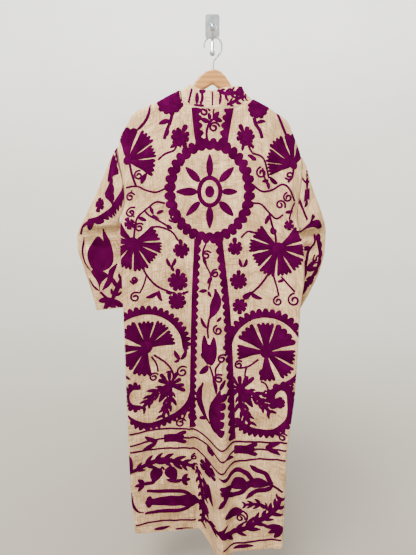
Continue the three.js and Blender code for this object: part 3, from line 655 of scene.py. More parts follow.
def petal(start, end, half):
    """A lobe that widens outwards and ends round, along x."""
    t = np.linspace(0, 1, 10)
    end_round = np.sqrt(np.maximum(0, 1 - ((t - 0.72) / 0.28) ** 2))
    width = half * np.where(t < 0.72, lerp(0.45, 1, smooth(t / 0.72)), end_round)
    return [ribbon(np.stack([lerp(start, end, t), 0 * t], -1), np.maximum(width, THIN))]


def blossom(r, lobes, top, start, solid=0.55):
    """A flower of round lobes over a solid middle, its first lobe longer by "top"."""
    shapes = disc(solid * r) + moved(disc(0.6 * solid * r), turn=90)
    for k in range(lobes):
        length = r * (top if k == 0 else 1 - 0.06 * (k % 2))
        lobe = petal(0.2 * r, length, 0.68 * math.pi * r / lobes)
        shapes += moved(lobe, turn=start + 360 * k / lobes)
    return shapes


def wedge(r0, r1, a0, a1, scallops):
    """A petal like a slice of a wheel, from angle a0 to a1, with a scalloped rim."""
    half = abs(math.radians(a1 - a0 + WIDEN)) / 2
    rows = max(9, int(r1 / 5))
    lobes = max(2, round(0.7 * scallops))
    columns = max(8 * lobes + 1, columns_for(2 * half * r1))
    share = np.linspace(-1, 1, columns)
    rim = r1 * (0.925 + 0.085 * np.abs(np.sin(math.pi * lobes * (share + 1) / 2)) ** 0.7)
    t = np.linspace(0, 1, rows) ** 0.85
    reach = r0 + (rim[None] - r0) * t[:, None]
    spare = GAP * smooth((reach / r1 - 0.2) / 0.4) - 1.2
    half_here = np.maximum(half - spare / 2 / np.maximum(reach, 1), 0.3 * half)
    angle = math.radians((a0 + a1) / 2) + half_here * share[None]
    grid = np.stack([reach * np.cos(angle), reach * np.sin(angle)], -1)
    return [(grid, heights(rows, columns))]


def wheel(r, slices, scallops):
    """Petals between pairs of angles round a hub."""
    shapes = disc(0.2 * r)
    for k, (a0, a1) in enumerate(slices):
        shapes += wedge(0.05 * r, r * (1 + 0.05 * math.sin(2.4 * k)), a0, a1, scallops)
    return shapes


def even_slices(count, start):
    edges = [start + k * 360 / count for k in range(count + 1)]
    return [(edges[k], edges[k + 1] - WIDEN) for k in range(count)]


def bites(teeth, t, depth, sharpness):
    return 1 + (depth * np.abs(np.sin(math.pi * teeth * t)) ** sharpness if teeth else 0)


def ring(rx, ry, inner, outer, teeth_in=0, teeth_out=0, start=0.0, sweep=360.0, taper=0.0):
    """A band round an ellipse, its half widths inwards and outwards, scalloped where it has teeth."""
    count = max(40, 8 * max(teeth_in, teeth_out))
    t = np.linspace(0, 1, count + 1)
    angle = np.radians(start + sweep * t)
    ends = 1 if taper == 0 else smooth(np.minimum(t, 1 - t) / taper) ** 0.5
    away = np.stack([np.cos(angle), np.sin(angle)], -1)
    side = side_places(7)
    near = np.maximum(inner * bites(teeth_in, t, 0.8, 0.6) * ends * np.ones_like(t), THIN)
    far = np.maximum(outer * bites(teeth_out, t, 1.25, 0.6) * ends * np.ones_like(t), THIN)
    reach = np.where(side > 0, far[:, None], near[:, None]) * side
    centre = np.stack([rx * np.cos(angle), ry * np.sin(angle)], -1)
    lift = heights(count + 1, 7, closed=abs(sweep) >= 360)
    return [(centre[:, None] + away[:, None] * reach[..., None], lift)]


def edged(points, left, right, teeth_left=0, teeth_right=0, taper=0.0):
    """A band along a line, scalloped on a side that has teeth, thinner to its ends by "taper"."""
    line = through(points, 2.2)
    t = np.linspace(0, 1, len(line))
    ends = 1 if taper == 0 else np.maximum(smooth(np.minimum(t, 1 - t) / taper), 0.08) ** 0.6
    left, right = left * bites(teeth_left, t, 1.25, 0.8), right * bites(teeth_right, t, 1.25, 0.8)
    return [ribbon(line, left * ends, right * ends)]


def branch(points, half, teeth):
    """A branch with pointed leaves close together on both sides of it."""
    line = through(points, 2.0)
    t = np.linspace(0, 1, len(line))
    shapes = [ribbon(line, np.maximum(0.5 * half * np.sin(math.pi * (0.1 + 0.82 * t)) ** 0.4, 0.4))]
    run = np.gradient(line, axis=0)
    for k in range(teeth):
        share = (k + 0.6) / teeth
        i = int(share * (len(line) - 1))
        size = half * (0.75 + 0.5 * math.sin(math.pi * share)) * (1 + 0.12 * math.sin(1.9 * k))
        ahead = math.degrees(math.atan2(run[i, 1], run[i, 0]))
        for side in (-1, 1):
            shape = leaf(1.95 * size, 0.72 * size, side * 2, 0.62)
            shapes += moved(shape, line[i, 0], line[i, 1], ahead + side * (33 + 6 * (k % 2)))
    return shapes


def tulip(length, half):
    """A closed flower that opens in two points, its foot at the origin."""
    t = np.linspace(0, 1, 14)
    shapes = []
    for side in (-1, 1):
        x = side * half * (0.42 * np.sin(math.pi * t * 0.9) ** 0.7 + 0.42 * t**3)
        width = half * 0.52 * np.sin(math.pi * np.clip(t, 0.02, 0.98) ** 0.75) ** 0.7
        shapes.append(ribbon(np.stack([x, length * t], -1), np.maximum(width, THIN)))
    return shapes + moved(leaf(0.72 * length, 1.1 * half), turn=90)


def lying_tulip(length, half, spread):
    """A long flower from its side, open along x: a middle petal with lobes and two outer ones."""
    t = np.linspace(0, 1, 28)
    stops = [0, 0.05, 0.15, 0.3, 0.42, 0.6, 0.8, 0.92, 1]
    body = np.interp(t, stops, [0.3, 0.55, 1.15, 1.1, 0.9, 1, 0.8, 0.6, 0.55])
    shapes = [ribbon(np.stack([0.94 * length * t, 0 * t], -1), half * body)]
    for turn in (-42, 0, 42):
        shapes += moved(petal(0, 0.15 * length, 0.47 * half), x=0.88 * length, turn=turn)
    for side in (-1, 1):
        outline = ((0.16, 0.4), (0.26, 0.78), (0.4, 0.97), (0.7, 1.0), (1.02, 1.08))
        line = through([(a * length, side * b * spread) for a, b in outline])
        ends = np.sin(math.pi * np.linspace(0.2, 0.9, len(line))) ** 0.5
        shapes.append(ribbon(line, 0.36 * half * ends))
    return shapes


def pair_of_leaves(length, width, angle):
    left, right = leaf(length, width, 3), leaf(length, width, -3)
    return moved(left, turn=90 + angle) + moved(right, turn=90 - angle)


def palmette(r):
    """Short lobes above and long feathered leaves below, pointing along -y."""
    shapes = disc(0.16 * r)
    lobes = ((92, 0.62), (62, 0.5), (124, 0.54), (30, 0.56), (158, 0.6), (8, 0.66), (182, 0.5))
    for turn, length in lobes:
        shapes += moved(petal(0.1 * r, length * r, 0.078 * r), turn=turn)
    shapes += moved(leaf(0.8 * r, 0.25 * r), turn=-90)
    for side in (-1, 1):
        points = [(0.1 * r, side * 0.08 * r), (0.6 * r, side * 0.2 * r), (1.35 * r, side * 0.12 * r)]
        shapes += moved(branch(points, 0.165 * r, 5), turn=-90 + side * 13)
    return shapes


def lobed_leaf(length, width, lobes):
    """A leaf with a smooth left side and round lobes on its right, down from the origin."""
    t = np.linspace(0, 1, 24)
    body = np.interp(t, [0, 0.15, 0.4, 0.7, 0.92, 1], [0.05, 0.35, 0.8, 1, 0.7, 0.2]) * width
    middle = -0.24 * length * np.sin(0.75 * math.pi * t) ** 1.3 * 0.5
    shapes = [ribbon(np.stack([middle, -length * t], -1), body)]
    for k in range(lobes):
        down = 0.22 + 0.7 * k / (lobes - 1)
        at = np.interp(down, t, middle) + 0.3 * width
        reach = width * (1.1 + 0.3 * math.sin(math.pi * down))
        lobe = petal(-0.9 * width, reach, 0.66 * width)
        shapes += moved(lobe, at, -length * down, 24 - 46 * k / (lobes - 1))
    return shapes


def curl(r, half, teeth, turns, start):
    """A thick scalloped curl."""
    t = np.linspace(0, 1, teeth * 6)
    angle = np.radians(start) + 2 * math.pi * turns * t
    reach = r * (1 - 0.45 * t)
    line = np.stack([reach * np.cos(angle), reach * np.sin(angle)], -1)
    ends = np.maximum(np.sin(math.pi * np.clip(t * 0.9 + 0.08, 0, 1)), 0.1) ** 0.5
    return [ribbon(line, half * ends, half * ends * (1 + 0.8 * np.abs(np.sin(math.pi * teeth * t))))]


PROBE = 4  # millimetres by which a motif's place is moved to find how the cloth is turned there
TORN = 60  # millimetres: moves that come out longer than this tell nothing
EDGE = 0.0015  # the share at a panel's rim where no stitch stands up
INSIDE = 0.001  # the share by which stitches stay off the rim
LAYER, LAYERS = 0.02, 9  # each next shape lies this much higher, in turn
THREAD_START = 37.0  # millimetres by which each next shape's thread pattern starts further on
SEEN_TO = 205  # millimetres from the middle: nearer than this, motifs on the back are laid point by point


class Needlework:
    """What is stitched on one panel, on its side that faces the room (-1) or the wall (1)."""

    def __init__(self, panel, toward=-1, sign=1):
        self.panel, self.toward, self.sign, self.grids = panel, toward, sign, []

    def flat(self, points):
        return self.panel.flat_at(np.atleast_2d(np.asarray(points, float)), self.toward)

    def put(self, shapes):
        """Shapes drawn as they are seen, laid on the cloth point by point."""
        self.grids += [(self.panel.from_seen(grid), lift) for grid, lift in shapes]

    def fits(self, points):
        reach = np.abs(np.asarray(points, float)[..., 0]).max()
        return bool(self.panel.from_seen) and reach < SEEN_TO

    def add(self, shapes, x, z, turn=0, size=1, flip=False):
        x = self.sign * x
        if self.fits([(x, z)]):
            self.put(moved(shapes, x, z, turn, size, flip))
            return
        around = [(x, z), (x - PROBE, z), (x + PROBE, z), (x, z - PROBE), (x, z + PROBE)]
        place, west, east, below, above = self.flat(around)
        across, rise = east - west, above - below
        if max(np.abs(across).max(), np.abs(rise).max()) < TORN:
            if across[0] * rise[1] < across[1] * rise[0]:
                turn, flip = -turn, not flip
            turn += math.degrees(math.atan2(rise[1], rise[0])) - 90
        self.grids += moved(shapes, place[0], place[1], turn, size, flip)

    def leaves(self, *rows):
        """Leaves by place and turn, each with its length, its width and the rest that leaf() takes."""
        for x, z, turn, *form in rows:
            self.add(leaf(*form), x, z, turn)

    def follow(self, points, draw):
        """Lays what "draw" makes of a line, on the seen places or on the flat ones."""
        if self.fits(points):
            self.put(draw(points))
        else:
            self.grids += draw(self.flat(points))

    def mirrored(self, points):
        return np.asarray(points, float) * (self.sign, 1)

    def line(self, points, half=LINE):
        points = through(self.mirrored(points), 4.0)
        self.follow(points, lambda seen: [ribbon(seen, BOLD * half)])

    def band(self, points, *widths_and_teeth, taper=0.0):
        points = self.mirrored(points)
        self.follow(points, lambda seen: edged(seen, *widths_and_teeth, taper=taper))

    def boughs(self, points, half, teeth):
        self.follow(self.mirrored(points), lambda seen: branch(seen, half, teeth))

    def mesh(self, name):
        panel = self.panel
        spots, faces, uvs, normals, base = [], [], [], [], 0
        for k, (grid, lift) in enumerate(self.grids):
            u, v = panel.shares(grid)
            outside = (v < EDGE) | (v > 1 - EDGE)
            if not panel.closed:
                outside |= (u < EDGE) | (u > 1 - EDGE)
            if outside.all():
                continue
            keep = ~(outside[:-1, :-1] & outside[1:, :-1] & outside[:-1, 1:] & outside[1:, 1:])
            over = lift + LAYER * (k % LAYERS) * (lift > 0)
            high = np.where(outside, TUCK, over) + CLOTH / 2
            at_u = u if panel.closed else np.clip(u, INSIDE, 1 - INSIDE)
            at = panel.at(at_u, np.clip(v, INSIDE, 1 - INSIDE), high)
            rows, columns = lift.shape
            number = base + np.arange(rows * columns).reshape(rows, columns)
            quads = [number[:-1, :-1], number[1:, :-1], number[1:, 1:], number[:-1, 1:]]
            faces.append(np.stack(quads, -1)[keep])
            spots.append(at.reshape(-1, 3))
            at_u = u % 1.0 if panel.closed else np.clip(u, 0, 1)
            normals.append(panel.read(panel.normals, at_u, np.clip(v, 0, 1)).reshape(-1, 3))
            run = np.linalg.norm(np.diff(grid[:, columns // 2], axis=0), axis=1)
            run = np.concatenate([[0], np.cumsum(run)])[:, None] + THREAD_START * k
            off = np.linalg.norm(np.diff(grid, axis=1), axis=2)
            off = np.concatenate([np.zeros((rows, 1)), np.cumsum(off, axis=1)], 1)
            off = off - off[:, -1:] / 2
            uvs.append(np.stack([np.broadcast_to(run, off.shape), off], -1).reshape(-1, 2))
            base += rows * columns
        spots, faces, uvs = np.concatenate(spots), np.concatenate(faces), np.concatenate(uvs)
        corners = spots[faces]
        facing = np.cross(corners[:, 2] - corners[:, 0], corners[:, 3] - corners[:, 1])
        inward = (facing * np.concatenate(normals)[faces[:, 0]]).sum(1) < 0
        faces[inward] = faces[inward, ::-1]
        return mesh_object(name, spots, faces, uvs)


# Meshes, made in metres
def mesh_object(name, spots, faces, uvs, real=None):
    mesh = bpy.data.meshes.new(name)
    corners = faces if real is None else real[faces]
    mesh.from_pydata((spots * 0.001).tolist(), [], corners.tolist())
    layer = mesh.uv_layers.new(name="cloth")
    layer.data.foreach_set("uv", (uvs[faces.ravel()] * 0.001).astype(np.float32).ravel())
    mesh.validate()
    mesh.shade_smooth()
    made = bpy.data.objects.new(name, mesh)
    bpy.context.scene.collection.objects.link(made)
    return made


def shell(name, panel, thickness, hem):
    """The panel as a closed wall of cloth, thicker where its hem is turned up."""
    rows, columns = panel.points.shape[:2]
    down = (1 - panel.vs) * panel.size[1]
    turned = hem * smooth((15.5 - down) / 1.5) - 0.35 * hem * np.exp(-(((down - 13) / 1.2) ** 2))
    half = thickness / 2 + 0.5 * np.broadcast_to(turned[:, None], (rows, columns))[..., None]
    outer, inner = panel.points + panel.normals * half, panel.points - panel.normals * half
    spots = np.concatenate([outer.reshape(-1, 3), inner.reshape(-1, 3)])
    number = np.arange(rows * columns).reshape(rows, columns)
    o, i = number, number + rows * columns

    def quads(a, b, c, d):
        return np.stack([a, b, c, d], -1).reshape(-1, 4)

    faces = [
        quads(o[:-1, :-1], o[:-1, 1:], o[1:, 1:], o[1:, :-1]),
        quads(i[:-1, :-1], i[1:, :-1], i[1:, 1:], i[:-1, 1:]),
        quads(o[0, :-1], i[0, :-1], i[0, 1:], o[0, 1:]),
        quads(o[-1, :-1], o[-1, 1:], i[-1, 1:], i[-1, :-1]),
    ]
    if not panel.closed:
        faces.append(quads(o[:-1, 0], o[1:, 0], i[1:, 0], i[:-1, 0]))
        faces.append(quads(o[:-1, -1], i[:-1, -1], i[1:, -1], o[1:, -1]))
    faces = np.concatenate(faces)
    real = np.arange(2 * rows * columns)
    if panel.closed:
        real[o[:, -1]], real[i[:, -1]] = o[:, 0], i[:, 0]
    middle = spots[faces[len(panel.us) * (rows // 2)]]
    toward = np.cross(middle[2] - middle[0], middle[3] - middle[1])
    inward = (toward * panel.normals[rows // 2].mean(0)).sum() < 0
    backwards = panel.turned if panel.closed else inward
    if backwards:
        faces = faces[:, ::-1]
    u, v = np.meshgrid(panel.us, panel.vs)
    flat = np.stack([u * panel.size[0], -v * panel.size[1]], -1).reshape(-1, 2)
    used = np.unique(real)
    packed = np.zeros(2 * rows * columns, int)
    packed[used] = np.arange(len(used))
    made = mesh_object(name, spots[used], faces, np.concatenate([flat, flat]), packed[real])
    made.data.set_sharp_from_angle(angle=math.radians(60))
    return made


STITCH = 5.2  # millimetres from one running stitch to the next
STITCH_HALF_WIDTHS = [0.15, 0.42, 0.42, 0.15]
STITCH_HEIGHT, STITCH_FOOT = 0.32, -0.2


def stitches(panel, runs):
    """Rows of small running stitches: each run is a start and an end in flat millimetres."""
    work = Needlework(panel)
    for x0, y0, x1, y1 in runs:
        length = math.hypot(x1 - x0, y1 - y0)
        for k in range(int(length / STITCH)):
            at = [(k + a) * STITCH / length for a in (0.1, 0.3, 0.5, 0.7)]
            dash = np.array([(lerp(x0, x1, t), lerp(y0, y1, t)) for t in at])
            grid, lift = ribbon(dash, STITCH_HALF_WIDTHS, columns=3, grow=0)
            work.grids.append((grid, np.where(lift > 0, STITCH_HEIGHT, STITCH_FOOT)))
    return work


# The panels
BODY_ROWS = spaced((0.0125, 7), (0.16, 36), (1, 176))
BACK_COLUMNS = spaced((0.031, 5), (0.969, 124), (1, 5))
FRONT_COLUMNS = spaced((0.05, 4), (1, 36))
BAND_ROWS = spaced((0.0125, 7), (1, 200))
SLEEVE_ROWS = spaced((0.04, 4), (1, 92))
NECK_COLUMNS = spaced((0.04, 6), (0.96, 76), (1, 6))
panels = {"back": Panel(back_point, BACK_COLUMNS, BODY_ROWS, -1, (540, 1270))}
panels["back"].to_shares, panels["back"].from_seen = back_shares, back_flat
for side, face in (("left", 1), ("right", -1)):
    front = Panel(partial(front_point, side), FRONT_COLUMNS, BODY_ROWS, face, (200, 1230))
    front.to_shares, front.from_seen = partial(front_shares, side), np.asarray
    tube = Panel(partial(sleeve_point, side), spaced((1, 92)), SLEEVE_ROWS, -face, (380, 440), closed=True)
    band = Panel(partial(front_band_point, side), spaced((1, 12)), BAND_ROWS, face, (44, 1290))
    panels.update({"front_" + side: front, "sleeve_" + side: tube, "band_" + side: band})
panels["neck"] = Panel(neck_band_point, NECK_COLUMNS, spaced((1, 16)), 1, (235, 46))


def rides(made):
    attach(made, "root")
    return made


# Each cloth with the solid that it stands for, its wall and its turned hem
CLOTHS = [
    ("back", "body_back", CLOTH, 0.9),
    ("front_left", "body_front_left", CLOTH, 0.9),
    ("front_right", "body_front_right", CLOTH, 0.9),
    ("sleeve_left", "sleeve_left", CLOTH, 0.7),
    ("sleeve_right", "sleeve_right", CLOTH, 0.7),
    ("neck", "neck_band", BAND_CLOTH, 0.0),
    ("band_left", "front_band_left", BAND_CLOTH, 0.0),
    ("band_right", "front_band_right", BAND_CLOTH, 0.0),
]
cloths = {}
for name, node, wall, hem in CLOTHS:
    cloths[name] = rides(shell(name + "_cloth", panels[name], wall, hem))
    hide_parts(node)

# The back's embroidery. Places are x, z in millimetres, as seen from the room.
upper = Needlework(panels["back"])
lower = Needlework(panels["back"])
hem_work = Needlework(panels["back"])

# the round medallion
HEART = (-7, -425)
upper.add(ring(104.5, 121, 9, 8.5, 30, 36), *HEART)
upper.add(ring(28, 36, 6.5, 6.5), *HEART)
upper.add(disc(12.5, 15.5), *HEART)
for k in range(8):
    reach = 31 + 7 * abs(math.cos(math.radians(45 * k)))
    long = 60 - 5 * (k % 2) - (16 if k == 6 else 0)
    upper.add(moved(leaf(long, 18 + 2 * (k % 3), 0, 0.8), x=reach), *HEART, turn=90 + 45 * k)

# the column from the neck to the medallion
upper.band([(-47, -211), (-43, -255), (-36, -306)], 8, 7, 5, 0)
upper.band([(48, -211), (40, -255), (32, -306)], 7, 8, 0, 5)
upper.add(spiral(12), -8, -223)
upper.add(spiral(13, 2), 17, -262)
upper.line([(-14, -296), (-15, -272), (-8, -250), (4, -240)], 2.4)
upper.leaves(
    (0, -242, 48, 27, 13), (2, -242, -12, 25, 12, 2), (-6, -246, 160, 27, 13, 3),
    (-6, -244, 100, 20, 10),
)
upper.line([(6, -212), (2, -224), (4, -240)], 1.5)

# blossoms and sprays on the shoulders
upper.add(blossom(38, 12, 1.1, 40, 0.84), -110, -196)
upper.add(blossom(30, 11, 1.05, 30, 0.84), 118, -212)
upper.line([(-104, -226), (-109, -246), (-120, -272), (-126, -292)], 3.4)
upper.leaves((-108, -244, 196, 34, 13, -2), (-116, -262, 262, 22, 11))
upper.line([(108, -234), (112, -252), (124, -270), (130, -290)], 3.6)
upper.add(leaf(28, 10, 3), 113, -252, 12)
upper.band([(-160, -202), (-167, -230), (-182, -252), (-205, -272)], 3.6, 3.6, taper=0.3)
upper.band([(168, -224), (180, -250), (196, -284)], 3.2, 3.2)

# the fans on the shoulder blades
FAN_LEFT, FAN_RIGHT = (-226, -344), (216, -356)
for a0, a1, r, teeth in ((68, 112, 88, 4), (35, 61, 92, 5), (8, 31, 82, 5), (-32, 4, 78, 6)):
    upper.add(wedge(5, r, a0, a1, teeth), *FAN_LEFT)
RIGHT_SLICES = ((88, 112, 84, 3), (117, 147, 84, 5), (151, 178, 78, 5), (181, 206, 74, 5), (40, 80, 70, 3))
for a0, a1, r, teeth in RIGHT_SLICES:
    upper.add(wedge(5, r, a0, a1, teeth), *FAN_RIGHT)
upper.add(disc(11), *FAN_LEFT)
upper.add(disc(11), *FAN_RIGHT)

# lobed flowers on bent stems
upper.add(blossom(27, 9, 1.35, 62), -84, -285)
upper.leaves((-92, -300, 215, 24, 10), (-80, -300, -48, 26, 11))
upper.line([(-92, -300), (-100, -318), (-124, -328), (-144, -344)], 1.9)
upper.add(blossom(26, 9, 1.35, 118), 86, -283)
upper.leaves((92, -298, -40, 24, 10), (82, -300, 258, 22, 9))
upper.line([(92, -300), (104, -324), (134, -340), (150, -392)], 1.9)

# tendrils between the fans and the medallion
upper.line([(-220, -346), (-214, -378), (-203, -412)], 2.4)
upper.line([(-233, -415), (-214, -411), (-196, -412), (-180, -420), (-150, -426), (-122, -416)], 1.8)
upper.add(spiral(12, 1.8), -190, -372, 60)
upper.add(leaf(36, 13, 2), -190, -406, 62)
upper.add(spiral(12, 1.8), -208, -436, 10)
upper.line([(-214, -420), (-216, -425)], 1.6)
upper.line([(-124, -456), (-150, -452), (-176, -470), (-200, -492), (-208, -520), (-212, -552)], 2.0)
upper.add(spiral(14, 1.9), -206, -470, 30)
upper.line([(-208, -494), (-216, -484), (-222, -478)], 1.7)
upper.line([(-182, -474), (-172, -486), (-146, -500), (-122, -514)], 2.0)
upper.leaves((-158, -486, 112, 26, 10), (-150, -484, 22, 24, 9, 2), (-142, -502, 140, 26, 11))
upper.add(spiral(11, 2), -116, -496, 200)
upper.leaves((-126, -512, -30, 22, 10), (-200, -492, -22, 26, 11))
upper.add(spiral(12, 1.9), -186, -514, 30)
upper.add(blossom(16, 5, 1.2, 120), -222, -510)
upper.line([(108, -408), (132, -424), (160, -420), (186, -406), (204, -416), (222, -452)], 2.0)
upper.add(spiral(14, 1.9), 130, -362, 90)
upper.line([(132, -362), (136, -384), (148, -412)], 1.8)
upper.leaves(
    (116, -346, 148, 30, 11, -2), (150, -396, 185, 20, 9), (146, -398, -78, 22, 10),
    (176, -404, 142, 32, 12, 3),
)
upper.add(spiral(11, 1.9), 194, -386, 200)
upper.line([(216, -362), (212, -386), (200, -402)], 2.2)
upper.add(spiral(12, 1.9), 202, -428, 90)
upper.line([(104, -454), (130, -458), (152, -480), (172, -496), (192, -484)], 1.9)
upper.add(spiral(13, 1.9), 192, -468, -40)
upper.add(leaf(24, 10), 194, -480, 8)
upper.line([(152, -482), (160, -510), (170, -540), (172, -562)], 2.2)
upper.add(leaf(28, 11), 152, -486, 248)
upper.add(spiral(9, 1.8), 166, -520, 90)
upper.add(blossom(15, 5, 1.2, 60), 206, -514)
upper.line([(222, -452), (214, -470), (206, -500)], 1.8)

# the fans below the sleeves, and the flowers that hang from them
slices = [(14, 47), (-13, 9), (-47, -18), (-84, -52), (-121, -89), (-160, -126), (163, 194), (124, 156)]
upper.add(wheel(76, slices, 5), -213, -560)
slices = [(127, 157), (162, 188), (194, 225), (231, 263), (269, 300), (305, 336), (-17, 10), (17, 51)]
upper.add(wheel(78, slices, 5), 178, -574)
upper.line([(-170, -520), (-140, -518), (-108, -532), (-92, -556)], 1.9)
upper.add(blossom(24, 8, 1.3, 95), -84, -580)
upper.line([(122, -536), (96, -530), (76, -548)], 1.9)
upper.add(blossom(23, 7, 1.35, 95), 62, -574, size=0.95)
lower.add(pair_of_leaves(28, 10, 24), -112, -626)
lower.add(pair_of_leaves(28, 10, 20), 84, -628)
lower.line([(-196, -600), (-184, -640), (-156, -676), (-122, -694), (-100, -700)], 2.2)
lower.line([(170, -604), (152, -646), (124, -684), (96, -706)], 2.2)
lower.add(blossom(30, 9, 1.2, 90), -94, -666)
lower.add(leaf(22, 9), -104, -640, 120)
lower.add(blossom(29, 9, 1.2, 90), 72, -664, size=0.9)
lower.add(blossom(27, 9, 0.9, 270), -97, -722)
lower.leaves((-86, -702, 18, 24, 8), (-110, -702, 165, 20, 8))
lower.add(blossom(25, 7, 1.1, 270), 76, -734, size=0.9)
lower.leaves(
    (82, -712, 40, 24, 8), (-150, -694, 205, 38, 12, 5), (-146, -690, 285, 34, 12, -5),
    (104, -694, -28, 40, 12, -5), (104, -692, 230, 32, 12, 5),
)
lower.add(spiral(14, 1.9), -200, -700, 40)
lower.line([(-200, -700), (-188, -676), (-180, -650)], 1.7)
lower.add(spiral(10, 1.9), -222, -660, 180)
lower.add(leaf(22, 9), -206, -656, 240)
lower.add(spiral(13, 1.9), 182, -706, 80)
lower.line([(182, -706), (176, -680), (164, -640)], 1.8)
lower.add(spiral(17, 1.9), 224, -696, 80)
lower.line([(224, -692), (206, -672), (186, -650)], 1.8)
lower.add(leaf(20, 9), 196, -660, 200)

# the long column down the middle fold
lower.band([(-42, -548), (-49, -690), (-53, -807), (-57, -960), (-60, -1112)], 6, 6.5, 27, 0)
lower.band([(20, -548), (38, -700), (46, -801), (54, -960), (59, -1112)], 7, 6.5, 0, 26)
lower.add(spiral(12, 2), -4, -590, 20)
lower.line([(-16, -560), (-26, -590), (-16, -622), (-4, -650), (-10, -690)], 1.8)
lower.add(leaf(26, 10), -16, -622, 110)
lower.add(spiral(11, 2), 14, -634, 60)
lower.leaves((0, -652, 236, 24, 11), (-12, -690, 190, 26, 11), (-12, -692, 300, 20, 9))
lower.band([(8, -684), (12, -712), (4, -745), (-8, -770)], 15, 14, taper=0.5)
lower.line([(-8, -768), (-12, -800), (-10, -826)], 2.2)
lower.add(leaf(36, 10, 3), -14, -798, 118)
lower.add(spiral(13, 2), 16, -786, 90)
lower.add(leaf(20, 8), 12, -776, 45)
lower.add(tulip(84, 22), -8, -900)
lower.add(spiral(15, 2), -20, -893, 270)
lower.add(spiral(12, 2), 38, -872, 20)
lower.line([(24, -882), (10, -905), (12, -930)], 1.8)
lower.add(spiral(12, 2), 28, -922, 40)
lower.add(leaf(44, 15, 3), -10, -900, 232)
lower.line([(-6, -900), (2, -924), (8, -944), (12, -962)], 2.2)
lower.add(leaf(46, 11, 3), 2, -930, 282)
lower.band([(-24, -956), (-34, -985), (-36, -1015), (-22, -1050), (-4, -1070)], 9.5, 9.5, taper=0.45)
lower.leaves((-14, -1056, 218, 30, 10), (20, -962, 62, 34, 11))
lower.add(lobed_leaf(126, 17, 5), 22, -958)

# the wheels, each in its scalloped ring
slices = [(4, 37), (41, 68), (73, 107), (112, 152), (168, 190), (196, 236), (241, 278)]
lower.add(wheel(82, slices, 6), -184, -854)
lower.add(ring(106, 102, 8, 9.5, 0, 18, 140, -150, 0.08), -184, -854)
lower.add(ring(102, 98, 6, 6, 0, 8, 200, 44, 0.3), -184, -856)
slices = [(75, 108), (20, 70), (-22, 9), (-58, -28), (-102, -71), (166, 197), (116, 154)]
lower.add(wheel(84, slices, 6), 149, -861)
lower.add(ring(103, 104, 8, 9.5, 0, 19, 186, -172, 0.08), 149, -862)
lower.add(ring(102, 100, 7, 7, 0, 7, -22, -44, 0.3), 149, -862)

# below the wheels
lower.line([(-172, -880), (-158, -905), (-154, -930)], 1.9)
lower.add(spiral(13, 1.9), -154, -940, 20)
lower.line([(-166, -876), (-130, -905), (-112, -935), (-112, -964)], 2.2)
lower.add(pair_of_leaves(36, 12, 28), -90, -896)
lower.add(leaf(18, 9), -92, -896, 200)
lower.add(spiral(17, 2), -72, -922, 40)
lower.add(leaf(22, 8), -112, -930, 186)
lower.add(palmette(70), -122, -972, -32, 1.1)
lower.add(ring(24, 30, 8, 8, 0, 10, 50, 255, 0.12), -218, -1000)
scroll = [(-60, -985), (-70, -1030), (-108, -1066), (-176, -1090), (-216, -1078), (-240, -1052)]
lower.band(scroll, 9, 6, 17, 0, taper=0.16)
lower.add(spiral(15, 2), -52, -1060, 80)
lower.line([(-66, -1040), (-80, -1070), (-88, -1092)], 1.8)
lower.add(spiral(15, 2), -78, -1092, 10)
lower.line([(130, -882), (104, -902), (74, -908), (62, -900)], 2.0)
lower.add(spiral(12, 2), 84, -892, 40)
lower.line([(96, -904), (92, -930), (108, -952)], 1.9)
lower.add(spiral(15, 2), 136, -936, 250)
lower.line([(134, -944), (150, -952), (156, -974), (140, -986)], 1.9)
lower.add(spiral(10, 2), 140, -980, 200)
lower.add(palmette(70), 80, -968, 34, 1.12)
scroll = [(194, -997), (180, -1005), (168, -989), (174, -971), (191, -960), (208, -966), (214, -990)]
scroll += [(210, -1046), (172, -1084), (112, -1084), (64, -1050)]
lower.band(scroll, 9, 7, 25, 0, taper=0.03)
lower.add(blossom(17, 6, 1.1, 200, 0.75), 188, -1001)
lower.add(spiral(12, 2), 208, -1094, 20)

# the lines, lying tulips and branches above the hem
left_part = [(-242, -1113), (-150, -1108), (-60, -1116), (-6, -1120)]
hem_work.line(left_part + [(28, -1126), (62, -1119), (140, -1120), (212, -1113)])
left_part = [(-240, -1150), (-150, -1140), (-60, -1144), (-6, -1142)]
hem_work.line(left_part + [(28, -1160), (62, -1146), (140, -1142), (210, -1136)])
left_part = [(-242, -1170), (-120, -1173), (-50, -1180), (-6, -1192)]
hem_work.line(left_part + [(28, -1196), (62, -1180), (210, -1166)])
for x, z in ((-146, -1140), (58, -1143)):
    hem_work.band([(x + 3, z), (x + 30, z), (x + 62, z)], 13, 13)
    for turn, far in ((13, 74), (0, 66), (-13, 74)):
        hem_work.add(petal(34, far, 6.5), x, z, turn)
for x, z, turn in ((-158, -1148, 150), (-162, -1148, 205), (150, -1138, 25), (150, -1138, -20)):
    hem_work.add(leaf(46, 15, 3), x, z, turn)
hem_work.add(tulip(24, 10), -4, -1164)
hem_work.add(leaf(30, 10, 2), 34, -1156, -20)
hem_work.add(spiral(10, 1.8), -48, -1200, 60)
bough = [(-236, -1232), (-195, -1219), (-155, -1209), (-117, -1216), (-83, -1228), (-50, -1240)]
hem_work.boughs(bough, 16, 7)
hem_work.band([(-241, -1180), (-238, -1210), (-240, -1244)], 7, 6, taper=0.2)
for x, z, turn, far in ((-160, -1242, 252, -1), (-133, -1244, 298, 1)):
    hem_work.add(leaf(52, 38, 0, 0.72), x, z + 9, turn)
    hem_work.band([(x - 6, z - 32), (x + far * 22, z - 40), (x + far * 48, z - 38)], 6, 6, taper=0.3)
    for spray in (-50, 0, 48):
        hem_work.add(leaf(28, 13), x + far * 42, z - 38, (180 if far < 0 else 0) + spray)
